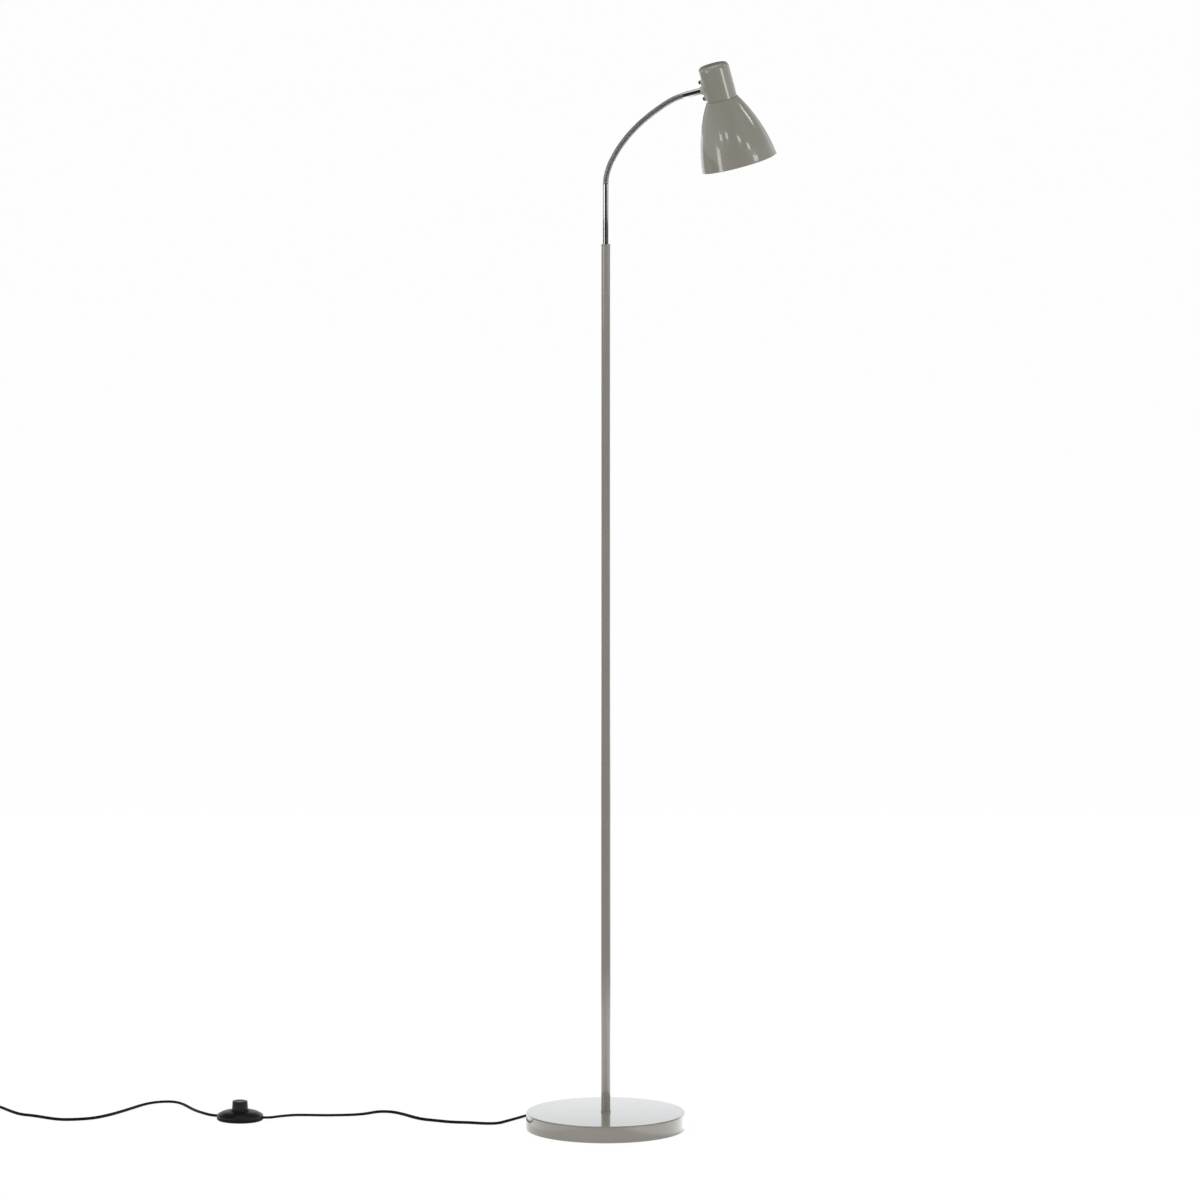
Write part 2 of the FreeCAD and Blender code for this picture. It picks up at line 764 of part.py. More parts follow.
def holder_ring():
    """Ring nut on the holder's skirt that clamps the shade's flange from below."""
    top = flange_height - shade_wall
    outer = holder_ring_diameter / 2
    grip = outer - holder_ring_lip
    lip_foot = top - holder_ring_lip
    return turned([
        (holder_diameter / 2 + slip_gap, top - holder_ring_height),
        (grip, top - holder_ring_height), (grip, lip_foot - holder_ring_step),
        (outer, lip_foot), (outer, top),
        (holder_diameter / 2 + slip_gap, top),
    ])


def thread_shell():
    outer = holder_bore / 2 - slip_gap
    return pipe(outer, outer - shell_wall, holder_well - contact_thickness - shell_length,
                holder_well - contact_thickness)


def centre_contact():
    return rod(contact_diameter / 2, bulb_tip, holder_well)


def bulb_cap():
    """Screw cap with its insulated tip."""
    cap = cap_diameter / 2
    foot = bulb_tip - cap_length
    return turned([
        (0, foot), (cap, foot), (cap, bulb_tip - cap_tip_height),
        (cap - cap_tip_step, bulb_tip - contact_thickness),
        (contact_diameter / 2, bulb_tip), (0, bulb_tip),
    ])


def bulb_globe():
    """Opal globe with a flared neck down to the cap."""
    radius = bulb_diameter / 2
    centre = bulb_end + radius
    neck_foot = bulb_tip - cap_length
    neck = bulb_neck_diameter / 2
    low = -math.pi / 4
    high = math.acos(bulb_neck_meet)
    return turned([
        (0, bulb_end),
        (radius * math.cos(low), centre + radius * math.sin(low), radius, centre),
        (radius * math.cos(high / 2), centre + radius * math.sin(high / 2),
         radius * math.cos(high), centre + radius * math.sin(high)),
        (neck, neck_foot - bulb_neck_length / 2), (bulb_foot_diameter / 2, neck_foot),
        (0, neck_foot),
    ])


# ================================================================ foot switch, in its own frame
# Zero is on the floor under the button; the cord runs through along X.
switch_place = FreeCAD.Placement(V(switch_x, switch_y, 0), FreeCAD.Rotation(UP, switch_turn))


def switch_posts():
    return [(0, switch_screw_spacing / 2), (0, -switch_screw_spacing / 2)]


def cord_ports(shape):
    """Cut the two cord holes through the rim, half in the base and half in the cover."""
    radius = cord_diameter / 2 + slip_gap
    for sign in (1, -1):
        hole = lying(rod(radius, 0, 2 * port_depth), -port_depth)
        hole = placed(hole, FreeCAD.Placement(V(sign * switch_diameter / 2, 0, port_height),
                                              FreeCAD.Rotation()))
        shape = shape.cut(hole)
    return shape


def switch_base():
    """Lower tray with its rim wall, a bevelled foot and two screw seats."""
    outer = switch_diameter / 2
    tray = turned([
        (0, 0), (outer - switch_foot_bevel, 0), (outer, switch_foot_bevel),
        (outer, switch_base_height),
        (outer - switch_wall, switch_base_height), (outer - switch_wall, switch_wall),
        (0, switch_wall),
    ])
    tray = cord_ports(tray)
    seat = switch_screw_head_height + slip_gap
    for x, y in switch_posts():
        tray = tray.cut(rod(switch_screw_head / 2 + slip_gap, -cutter_reach, seat, x, y))
        tray = tray.cut(rod(switch_screw_diameter / 2 + slip_gap, -cutter_reach,
                            switch_wall + cutter_reach, x, y))
    return tray


def switch_cover():
    """Domed cover with the button's hole in its middle and two screw posts inside."""
    wall = switch_wall
    outer = switch_diameter / 2
    hole = button_diameter / 2 + running_gap
    rim_top = switch_base_height + switch_shoulder
    crown = switch_dome_height
    bevel = switch_lip_bevel
    lip = (hole + switch_lip_width, crown - bevel)
    rim = (outer, rim_top)
    dome = ArcThrough(rim, switch_dome_waist, lip)
    outside = dome.steps(rim, lip, switch_dome_steps)
    inside = dome.steps(lip, rim, switch_dome_steps, wall)[:-1] + [(outer - wall, rim_top)]
    cover = turned(
        [(outer - wall, switch_base_height), (outer, switch_base_height)] + outside
        + [(lip[0] - bevel, crown), (hole, crown), (hole, crown - wall + bevel / 2)] + inside
    )
    below = turned([(0, switch_wall), (outer - wall, switch_wall)] + inside[::-1]
                   + [(0, inside[0][1])])
    for x, y in switch_posts():
        post = rod(switch_post_diameter / 2, switch_wall, crown - wall, x, y)
        cover = cover.fuse(post.common(below))
        cover = cover.cut(rod(switch_screw_diameter / 2, switch_wall - cutter_reach,
                              switch_screw_tip + loose_gap, x, y))
    return cord_ports(cover)


def switch_screws():
    """Screws from below that hold the cover to the tray."""
    shank = switch_screw_diameter / 2 - slip_gap
    head = switch_screw_head / 2
    floor = slip_gap
    screw = turned([
        (0, floor), (head, floor), (head, switch_screw_head_height),
        (shank, switch_screw_head_height), (shank, switch_screw_tip), (0, switch_screw_tip),
    ])
    return Part.makeCompound([
        placed(screw, FreeCAD.Placement(V(x, y, 0), FreeCAD.Rotation())) for x, y in switch_posts()
    ])


def switch_button():
    """Tapered push button, hollow below, with a flange that stops under the cover."""
    foot = button_under
    flange = button_flange_diameter / 2
    side = button_diameter / 2
    top = button_top_diameter / 2
    edge = button_edge_radius
    bore = button_bore_diameter / 2
    plunger = plunger_diameter / 2
    cut = 1 - math.sqrt(0.5)
    return turned([
        (0, foot), (plunger, foot), (plunger, button_top - button_roof),
        (bore, button_top - button_roof), (bore, foot), (flange, foot),
        (flange, foot + button_flange_height), (side, foot + button_flange_height),
        (side, switch_dome_height), (top, button_top - edge),
        (top - cut * edge, button_top - cut * edge, top - edge, button_top),
        (0, button_top),
    ])


def switch_cartridge():
    """The press-on, press-off contact block, with the well that the plunger works in."""
    outer = cartridge_diameter / 2
    well = plunger_diameter / 2 + running_gap
    return turned([
        (0, switch_wall), (outer, switch_wall), (outer, cartridge_height - cartridge_bevel),
        (outer - cartridge_bevel, cartridge_height), (well, cartridge_height),
        (well, cartridge_well),
        (0, cartridge_well),
    ])


def switch_leads():
    """The cores inside the switch, from each port to the contact block."""
    start = cartridge_diameter / 2
    end = switch_diameter / 2 - port_depth
    leads = []
    for sign in (1, -1):
        lead = lying(rod(lead_diameter / 2, 0, end - start), start if sign > 0 else -end)
        leads.append(placed(lead, FreeCAD.Placement(UP * port_height, FreeCAD.Rotation())))
    return Part.makeCompound(leads)


# ================================================================ mains cord
# Each route's points are (x, y, z). Where only (x, y) is given the cord lies on the floor.
def on_floor(*points):
    return [(x, y, cord_on_floor) for x, y in points]


def outside_port(sign, distance):
    """A point on the axis of one of the switch's ports, counted from the inner end of the cord."""
    reach = sign * (switch_diameter / 2 - port_depth + distance)
    point = switch_place.multVec(V(reach, 0, port_height))
    return point.x, point.y, point.z


def past_gland(distance):
    """A point on the gland's axis, counted from its outer end."""
    angle = math.radians(gland_angle)
    reach = gland_outlet + distance
    return reach * math.cos(angle), reach * math.sin(angle), gland_height


def behind_plug(distance):
    """A point on the plug's axis, counted from the end of its tapered sleeve."""
    point = plug_place.multVec(V(-relief_length - distance, 0, 0))
    return point.x, point.y, point.z


plug_place = FreeCAD.Placement(V(plug_x, plug_y, plug_thickness / 2),
                               FreeCAD.Rotation(UP, plug_heading))
outer_turn = coil_outer_radius - cord_diameter / 2
coil_entry = (coil_x + outer_turn, coil_y, coil_base + cord_diameter / 2)
coil_exit = (coil_x, coil_y + outer_turn, coil_base + coil_height - cord_diameter / 2)
lamp_side_route = [
    past_gland(0), past_gland(13), (-17.5, 160.0, 4.4), (-31.0, 166.5, 2.8),
] + on_floor(
    (-49, 163), (-66, 150), (-81, 130), (-95, 110), (-109, 87), (-124, 64), (-139, 42),
    (-151, 25), (-171, 25), (-190, 32), (-216, 35), (-238, 47), (-256, 56), (-270, 73),
    (-282, 92), (-299, 112), (-319, 114), (-335, 97), (-350, 90), (-366, 87), (-390, 85),
    (-414, 87), (-434, 88),
) + [(-448.5, 78, 3.4), (-458, 64, 5.0), outside_port(1, 12), outside_port(1, 0)]
plug_side_route = [
    outside_port(-1, 0), outside_port(-1, 11), (-562, 87, 5.2), (-572, 109, 3.8),
] + on_floor(
    (-583, 140), (-594, 171), (-608, 188), (-629, 185), (-646, 170), (-662, 142), (-680, 110),
    (-698, 83), (-716, 64), (-738, 55), (-762, 53), (-783, 68), (-800, 83), (-819, 92),
    (-833, 115), (-847, 143), (-856, 159),
) + [coil_entry]
tail_route = [coil_exit, (-906, 207.9, 8.4), behind_plug(10), behind_plug(0)]


def cord_lamp_side():
    return cord_tube(lamp_side_route, cord_diameter, "cord, base to switch")


def cord_plug_side():
    return cord_tube(plug_side_route, cord_diameter, "cord, switch to coil")


def cord_tail():
    """The free end that comes down off the coil to the plug."""
    return cord_tube(tail_route, cord_diameter, "cord, coil to plug")


def at_coil(shape):
    return placed(shape, FreeCAD.Placement(V(coil_x, coil_y, 0), FreeCAD.Rotation()))


def cord_coil():
    """The wound spare length as one closed ring."""
    top = coil_base + coil_height
    ring = turned([
        (coil_inner_radius, coil_base), (coil_outer_radius, coil_base),
        (coil_outer_radius, top - coil_edge), (coil_outer_radius - coil_edge, top),
        (coil_inner_radius + coil_edge, top), (coil_inner_radius, top - coil_edge),
    ])
    return at_coil(ring)


def coil_tie():
    """Strap round the bundle of turns at one place."""
    gap = slip_gap
    top = coil_base + coil_height + gap
    inner = coil_inner_radius - gap
    outer = coil_outer_radius + gap
    t = tie_thickness
    band = turned([
        (inner - t, tie_lift), (outer + t, tie_lift), (outer + t, top - coil_edge),
        (outer - coil_edge + t / 2, top + t), (inner + coil_edge - t / 2, top + t),
        (inner - t, top - coil_edge),
    ])
    band = band.cut(turned([
        (inner, coil_base - gap), (outer, coil_base - gap), (outer, top - coil_edge),
        (outer - coil_edge, top), (inner + coil_edge, top), (inner, top - coil_edge),
    ]))
    slice_box = Part.makeBox(2 * coil_outer_radius, tie_width, 2 * coil_height,
                             V(0, -tie_width / 2, 0))
    slice_box = placed(slice_box, FreeCAD.Placement(V(0, 0, 0), FreeCAD.Rotation(UP, tie_angle)))
    return at_coil(band.common(slice_box))


# ================================================================ plug, in its own frame
# Zero is the middle of its rear face; the pins point along +X.
def rounded_section(x, width, thickness, corner):
    """Rounded rectangle across X, as a wire."""
    box = Part.makeBox(1, width, thickness, V(x, -width / 2, -thickness / 2))
    box = box.makeFillet(corner, [e for e in box.Edges
                                  if abs(e.tangentAt(e.FirstParameter).x) > 0.9])
    face = [f for f in box.Faces if abs(f.CenterOfMass.x - x) < 1e-6][0]
    return face.OuterWire


def plug_body():
    """Moulded flat two-pin body, with the insulated roots of its pins."""
    widest = rounded_section(plug_length - plug_face_length, plug_width, plug_thickness, plug_corner)
    body = Part.makeLoft([
        rounded_section(0, plug_rear_width, plug_rear_thickness, plug_corner), widest,
    ], True, True)
    body = body.fuse(Part.Face(widest).extrude(V(plug_face_length, 0, 0)))
    for y in (pin_spacing / 2, -pin_spacing / 2):
        sleeve = lying(rod(pin_sleeve_diameter / 2, 0, pin_sleeve_length + plug_root_depth),
                       plug_length - plug_root_depth)
        body = body.fuse(placed(sleeve, FreeCAD.Placement(V(0, y, 0), FreeCAD.Rotation())))
    return body.removeSplitter()


def plug_pins():
    """The bare ends of the two pins."""
    bare = pin_length - pin_sleeve_length
    radius = pin_diameter / 2
    pin = turned([
        (0, 0), (radius, 0), (radius, bare - pin_tip_length), (radius - pin_tip_step, bare),
        (0, bare),
    ])
    pin = lying(pin, plug_length + pin_sleeve_length)
    return Part.makeCompound([
        placed(pin, FreeCAD.Placement(V(0, y, 0), FreeCAD.Rotation()))
        for y in (pin_spacing / 2, -pin_spacing / 2)
    ])


def plug_relief():
    """Tapered sleeve that guards the cord's bend behind the plug."""
    sleeve = turned([
        (0, 0), (relief_diameter / 2, 0), (relief_end_diameter / 2, relief_length),
        (0, relief_length),
    ])
    copy = sleeve.copy()
    copy.Placement = FreeCAD.Placement(V(0, 0, 0), FreeCAD.Rotation(V(0, 1, 0), -90))
    return copy


# ================================================================ every piece by name
def root_pieces():
    stud_top = pole_foot + stud_rise
    floor_pad_radius = cover_inner_radius - loose_gap - pad_inset
    pieces = {
        "base_cover": base_cover(),
        "base_weight": base_weight(),
        "base_plate": rod(cover_inner_radius - loose_gap, pad_thickness, plate_top),
        "floor_pad": rod(floor_pad_radius, 0, pad_thickness),
        "stud_washer": pipe(washer_diameter / 2, stud_diameter / 2 + thread_gap,
                            recess_top - washer_thickness, recess_top),
        "stud_nut": hexagon(nut_across_flats, stud_bottom, recess_top - washer_thickness,
                            stud_diameter / 2 + slip_gap),
        "pole_stud": pipe(stud_diameter / 2, stud_bore / 2, stud_bottom, stud_top),
        "foot_ring": bevelled_pipe(foot_ring_diameter / 2, stud_diameter / 2 + thread_gap,
                                   base_height, pole_foot, pole_edge_chamfer),
        "pole_couplers": pole_couplers(),
        "pole_top_bush": pole_top_bush(),
        "neck_sleeve": bevelled_pipe(sleeve_radius, sleeve_bore, pole_top - top_bush_depth,
                                     sleeve_mouth, sleeve_edge_bevel),
        "neck_foot_turns": placed(neck_piece(False, True, below=sleeve_socket - link_pitch / 2),
                                  neck_places[0]),
        "cord_gland": cord_gland(),
        "cord_clamp": cord_clamp(),
        "clamp_screws": clamp_screws(),
        "feed_lead": feed_lead(),
    }
    for name, low, high in zip(("pole_lower", "pole_middle", "pole_upper"),
                               pole_seams, pole_seams[1:]):
        pieces[name] = bevelled_pipe(pole_diameter / 2, pole_bore_radius, low, high,
                                     pole_edge_chamfer)
    return pieces


def neck_pieces():
    link = neck_piece(True, True)
    count = len(neck_bends) - 1
    return {f"neck_link_{i:02d}": placed(link, neck_places[i]) for i in range(1, count + 1)}


def head_pieces():
    pieces = {
        "neck_ferrule": ferrule(),
        "arm_saddle": arm_saddle(),
        "saddle_screws": saddle_screws(),
        "arm_nipple": arm_nipple(),
        "arm_nut": arm_nut(),
        "head_lead": head_lead(),
        "collar_cup": collar_cup(),
        "shade": shade(),
        "holder_bracket": holder_bracket(),
        "lampholder": lampholder(),
        "holder_nipple": holder_nipple(),
        "holder_nut": holder_nut(),
        "holder_ring": holder_ring(),
        "thread_shell": thread_shell(),
        "centre_contact": centre_contact(),
        "bulb_cap": bulb_cap(),
        "bulb_globe": bulb_globe(),
    }
    pieces = {name: placed(shape, head_place) for name, shape in pieces.items()}
    pieces["neck_end_turns"] = placed(neck_end_piece(), neck_places[-1])
    return pieces


def switch_pieces():
    pieces = {
        "switch_base": switch_base(),
        "switch_cover": switch_cover(),
        "switch_button": switch_button(),
        "switch_cartridge": switch_cartridge(),
        "switch_screws": switch_screws(),
        "switch_leads": switch_leads(),
    }
    return {name: placed(shape, switch_place) for name, shape in pieces.items()}


def cord_pieces():
    pieces = {
        "plug_body": placed(plug_body(), plug_place),
        "plug_pins": placed(plug_pins(), plug_place),
        "plug_relief": placed(plug_relief(), plug_place),
        "cord_lamp_side": cord_lamp_side(),
        "cord_plug_side": cord_plug_side(),
        "cord_coil": cord_coil(),
        "coil_tie": coil_tie(),
        "cord_tail": cord_tail(),
    }
    return pieces


os.makedirs("parts", exist_ok=True)
all_pieces = {}
for group in (root_pieces, neck_pieces, head_pieces, switch_pieces, cord_pieces):
    all_pieces.update(group())
for name, shape in all_pieces.items():
    shape.exportStep(f"parts/{name}.step")
print(len(all_pieces), "pieces")
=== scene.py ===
"""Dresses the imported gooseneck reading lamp: its painted base, pole and shade, the wound flexible
neck, the mains cord with its foot switch, coil and plug, and a plain white studio round it.

Metres throughout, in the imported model's own frame: +Z up, the floor at z = 0, the pole on the
origin's vertical, the neck bending towards +X and the cord leaving the base at +Y.
"""
import json
import math

import bmesh
import bpy
from bpy.props import FloatProperty, FloatVectorProperty, IntProperty, PointerProperty
from mathutils import Matrix, Vector


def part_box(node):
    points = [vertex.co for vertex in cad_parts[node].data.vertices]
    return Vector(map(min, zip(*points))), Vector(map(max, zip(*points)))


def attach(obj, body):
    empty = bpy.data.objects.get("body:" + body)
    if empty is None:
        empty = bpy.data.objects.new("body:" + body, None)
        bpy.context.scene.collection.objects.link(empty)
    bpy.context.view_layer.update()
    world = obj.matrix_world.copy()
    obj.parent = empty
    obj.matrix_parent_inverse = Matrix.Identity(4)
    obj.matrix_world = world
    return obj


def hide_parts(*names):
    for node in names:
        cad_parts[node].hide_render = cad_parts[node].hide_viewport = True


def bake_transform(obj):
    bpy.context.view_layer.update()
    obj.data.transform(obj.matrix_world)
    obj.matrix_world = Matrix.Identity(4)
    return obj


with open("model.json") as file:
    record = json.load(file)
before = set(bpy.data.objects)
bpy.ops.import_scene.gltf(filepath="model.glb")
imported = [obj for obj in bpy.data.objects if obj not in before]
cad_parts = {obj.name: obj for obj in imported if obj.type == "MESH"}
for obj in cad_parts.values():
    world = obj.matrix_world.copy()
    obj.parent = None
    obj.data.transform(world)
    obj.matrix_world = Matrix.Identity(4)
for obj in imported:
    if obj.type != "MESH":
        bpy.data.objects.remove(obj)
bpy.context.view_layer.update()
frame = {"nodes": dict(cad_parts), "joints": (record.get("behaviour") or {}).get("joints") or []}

bl_info = {
    "name": "Gooseneck Reading Lamp",
    "version": (1, 0, 0),
    "blender": (4, 5, 0),
    "location": "3D View > Sidebar > Reading Lamp",
    "description": "Builds the looks of a gooseneck reading lamp round its packed solids",
    "category": "Object",
}

MM = 0.001
UP = Vector((0, 0, 1))
BASE_RADIUS = 111 * MM


# ---------------------------------------------------------------- places read from the frame
def box_middle(node):
    """Middle of a CAD node's box."""
    low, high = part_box(node)
    return (Vector(low) + Vector(high)) / 2


def joint_place(name):
    """Where a joint's axis passes, at rest."""
    for joint in frame["joints"]:
        if joint["name"] == name:
            return Vector(joint["pos_m"])
    raise ValueError(f"the frame has no joint {name}")


HEAD_TILT = math.radians(-15)
HEAD_TURN = Matrix.Rotation(HEAD_TILT, 4, "Y")
ARM_BELOW_COLLAR_TOP = 32 * MM
ARM_REACH = 50.5 * MM
HALF_LINK = 8.5 * MM
HEAD_WAY = HEAD_TURN.to_3x3() @ Vector((1, 0, 0))
HEAD_ZERO = joint_place("neck_sway_5") + HEAD_WAY * (HALF_LINK + ARM_REACH)
HEAD_PLACE = Matrix.Translation(HEAD_ZERO) @ HEAD_TURN
SWITCH_PLACE = (
    Matrix.Translation(Vector((*box_middle("switch_base").xy, 0)))
    @ Matrix.Rotation(math.radians(-12), 4, "Z")
)
PLUG_PLACE = (
    Matrix.Translation((-952 * MM, 216 * MM, 6.85 * MM))
    @ Matrix.Rotation(math.radians(172), 4, "Z")
)
PLUG_SLEEVE = 22 * MM       # from the plug's zero back to the end of its tapered sleeve
PORT_END = 29.5 * MM        # from the switch's middle to the cord's inner end in a port
PORT_HEIGHT = 4.2 * MM
GLAND_TURN = Matrix.Rotation(math.radians(95), 4, "Z")
GLAND_END = 132.5 * MM      # from the pole's axis to the gland's outer end
GLAND_HEIGHT = 6.5 * MM

# ---------------------------------------------------------------- the cord's route
CORD_ON_FLOOR = 2.6 * MM
COIL_MIDDLE = Vector((-893, 176, 0)) * MM
COIL_COLUMNS = 3
COIL_INNER_TURN = 24.9 * MM
COIL_COLUMN_STEP = 3.4 * MM
COIL_LAYER_STEP = 5.7 * MM
COIL_FIRST_HEIGHT = 3.4 * MM
COIL_POINTS_PER_TURN = 16
COIL_CROSSING = 0.7         # share of a turn after which it crosses over to the next one
COIL_REACH = 52 * MM        # this near to the coil's middle the cord starts to stand on edge
COIL_EASING = 16 * MM       # and over this length it turns to do so
CORD_SWAY = math.radians(14)    # how far the flat cord leans to either side
CORD_SWAY_LENGTH = 71 * MM      # of cord for each radian of that sway


def route(*points):
    """The route's points in metres. A point given as (x, y) lies on the floor."""
    return [Vector(p) * MM if len(p) == 3 else Vector((p[0] * MM, p[1] * MM, CORD_ON_FLOOR))
            for p in points]


def outside_port(side, distance):
    """A point on the axis of a switch port, counted in mm from the cord's inner end."""
    return SWITCH_PLACE @ Vector((side * (PORT_END + distance * MM), 0, PORT_HEIGHT))


def behind_plug(distance):
    """A point on the plug's axis, counted in mm from the end of its tapered sleeve."""
    return PLUG_PLACE @ Vector((-PLUG_SLEEVE - distance * MM, 0, 0))


def past_gland(distance):
    """A point on the gland's axis, counted in mm from its outer end."""
    return GLAND_TURN @ Vector((GLAND_END + distance * MM, 0, GLAND_HEIGHT))


LAMP_SIDE_ROUTE = [past_gland(0), past_gland(13)] + route(
    (-17.5, 160.0, 4.4), (-31.0, 166.5, 2.8), (-49, 163), (-66, 150), (-81, 130), (-95, 110),
    (-109, 87), (-124, 64), (-139, 42), (-151, 25), (-171, 25), (-190, 32), (-216, 35),
    (-238, 47), (-256, 56), (-270, 73), (-282, 92), (-299, 112), (-319, 114), (-335, 97),
    (-350, 90), (-366, 87), (-390, 85), (-414, 87), (-434, 88), (-448.5, 78, 3.4),
    (-458, 64, 5.0),
) + [outside_port(1, 12), outside_port(1, 0)]
PLUG_SIDE_ROUTE = [outside_port(-1, 0), outside_port(-1, 11)] + route(
    (-562, 87, 5.2), (-572, 109, 3.8), (-583, 140), (-594, 171), (-608, 188), (-629, 185),
    (-646, 170), (-662, 142), (-680, 110), (-698, 83), (-716, 64), (-738, 55), (-762, 53),
    (-783, 68), (-800, 83), (-819, 92), (-833, 115), (-847, 143), (-856, 159),
)


def coil_turns():
    """The spare length's turns: in along the lower layer, out along the upper one, and a quarter
    turn more on top."""
    columns = list(range(COIL_COLUMNS))
    order = [(column, 0) for column in reversed(columns)] + [(column, 1) for column in columns]
    points = []
    steps = COIL_POINTS_PER_TURN
    for turn, (column, layer) in enumerate(order):
        following = order[turn + 1] if turn + 1 < len(order) else (column, layer)
        for step in range(steps):
            share = step / steps
            ease = max(0.0, (share - COIL_CROSSING) / (1 - COIL_CROSSING))
            ease = ease * ease * (3 - 2 * ease)
            radius = COIL_INNER_TURN + COIL_COLUMN_STEP * (column + (following[0] - column) * ease)
            height = COIL_FIRST_HEIGHT + COIL_LAYER_STEP * (layer + (following[1] - layer) * ease)
            angle = 2 * math.pi * share
            points.append(COIL_MIDDLE + Vector(
                (radius * math.cos(angle), radius * math.sin(angle), height)))
    outer = COIL_INNER_TURN + COIL_COLUMN_STEP * columns[-1]
    top = COIL_FIRST_HEIGHT + COIL_LAYER_STEP
    for step in range(steps // 4):
        angle = 2 * math.pi * step / steps
        points.append(COIL_MIDDLE + Vector((outer * math.cos(angle), outer * math.sin(angle), top)))
    return points


# ---------------------------------------------------------------- settings
class LampSizes(bpy.types.PropertyGroup):
    """Sizes that a user would change."""

    turn_pitch: FloatProperty(
        name="Neck turn pitch", description="Distance between the wound turns of the neck",
        default=2.1 * MM, min=1.2 * MM, max=6 * MM, unit="LENGTH", precision=4)
    turn_depth: FloatProperty(
        name="Neck turn depth", description="How deep the groove between two turns is",
        default=0.26 * MM, min=0.05 * MM, max=1 * MM, unit="LENGTH", precision=5)
    cord_width: FloatProperty(
        name="Cord width", description="The twin cord across both cores",
        default=5.2 * MM, min=3 * MM, max=9 * MM, unit="LENGTH", precision=4)
    cord_thickness: FloatProperty(
        name="Cord thickness", description="The twin cord across one core",
        default=3.6 * MM, min=2 * MM, max=6 * MM, unit="LENGTH", precision=4)
    round_segments: IntProperty(
        name="Round segments", description="Sides of the large turned pieces",
        default=128, min=24, max=256)


class LampFinishes(bpy.types.PropertyGroup):
    """Colours that a user would change."""

    paint: FloatVectorProperty(
        name="Paint", description="Warm grey gloss enamel of the base, pole and shade",
        subtype="COLOR", size=3, min=0, max=1, default=(0.275, 0.262, 0.222))
    paint_roughness: FloatProperty(
        name="Paint roughness", description="Roughness of the enamel",
        default=0.16, min=0, max=1, subtype="FACTOR")
    black: FloatVectorProperty(
        name="Black plastic", description="Cord, foot switch and plug",
        subtype="COLOR", size=3, min=0, max=1, default=(0.007, 0.007, 0.007))
    chrome: FloatVectorProperty(
        name="Chrome", description="Sleeve and ferrule of the neck",
        subtype="COLOR", size=3, min=0, max=1, default=(0.62, 0.62, 0.61))
    neck: FloatVectorProperty(
        name="Neck steel", description="Wound turns of the flexible neck",
        subtype="COLOR", size=3, min=0, max=1, default=(0.5, 0.5, 0.49))


class StudioSettings(bpy.types.PropertyGroup):
    """Camera and light."""

    camera_distance: FloatProperty(
        name="Camera distance", description="From the pole to the camera, along the floor",
        default=20.8, min=1, max=60, unit="LENGTH")
    camera_height: FloatProperty(
        name="Camera height", description="Over the floor", default=4.03, min=0, max=20,
        unit="LENGTH")
    camera_pitch: FloatProperty(
        name="Camera pitch", description="How far the camera looks down",
        default=math.radians(8.9732), subtype="ANGLE", unit="ROTATION")
    lens: FloatProperty(
        name="Lens", description="Focal length on a 36 mm wide frame", default=456.02,
        min=10, max=2000)
    key_power: FloatProperty(
        name="Key light", description="Power of the large soft light", default=60, min=0, max=2000,
        subtype="POWER", unit="POWER")


# ---------------------------------------------------------------- mesh helpers
def rounded_bend(start, corner, end, steps):
    """Points of a round bend from start to end, tangent to both runs at the corner."""
    shares = [step / steps for step in range(steps + 1)]
    return [start * (1 - t) ** 2 + corner * (2 * t * (1 - t)) + end * t ** 2 for t in shares]


def way_at(points, i):
    """Direction of a line of points at one of them."""
    return (points[min(i + 1, len(points) - 1)] - points[max(i - 1, 0)]).normalized()


def skin(shape, rings):
    """Faces between neighbouring rings that have the same number of vertices."""
    for low, high in zip(rings, rings[1:]):
        for k in range(len(low)):
            n = (k + 1) % len(low)
            shape.faces.new((low[k], low[n], high[n], high[k]))


def softened(points, steps=5):
    """Outline with its corners rounded: a point is (radius, height) or (radius, height, round)."""
    outline = []
    count = len(points)
    for i, point in enumerate(points):
        here = Vector(point[:2])
        corner = point[2] if len(point) == 3 else 0
        if corner <= 0 or i in (0, count - 1):
            outline.append(here)
            continue
        back = Vector(points[i - 1][:2]) - here
        ahead = Vector(points[i + 1][:2]) - here
        reach = min(corner, 0.49 * back.length, 0.49 * ahead.length)
        start = here + back.normalized() * reach
        end = here + ahead.normalized() * reach
        outline += rounded_bend(start, here, end, steps)
    return outline


def put_in_scene(name, mesh, place=Matrix.Identity(4)):
    """New object with the mesh, which is moved to its place first."""
    mesh.transform(place)
    piece = bpy.data.objects.new(name, mesh)
    bpy.context.scene.collection.objects.link(piece)
    return piece


def smooth_mesh(shape, name, sharp_angle):
    """Mesh of a bmesh, which is freed, shaded smooth but for edges over the angle in degrees."""
    mesh = bpy.data.meshes.new(name)
    bmesh.ops.remove_doubles(shape, verts=shape.verts, dist=1e-7)
    bmesh.ops.recalc_face_normals(shape, faces=shape.faces)
    shape.to_mesh(mesh)
    shape.free()
    mesh.shade_smooth()
    mesh.set_sharp_from_angle(angle=math.radians(sharp_angle))
    return mesh


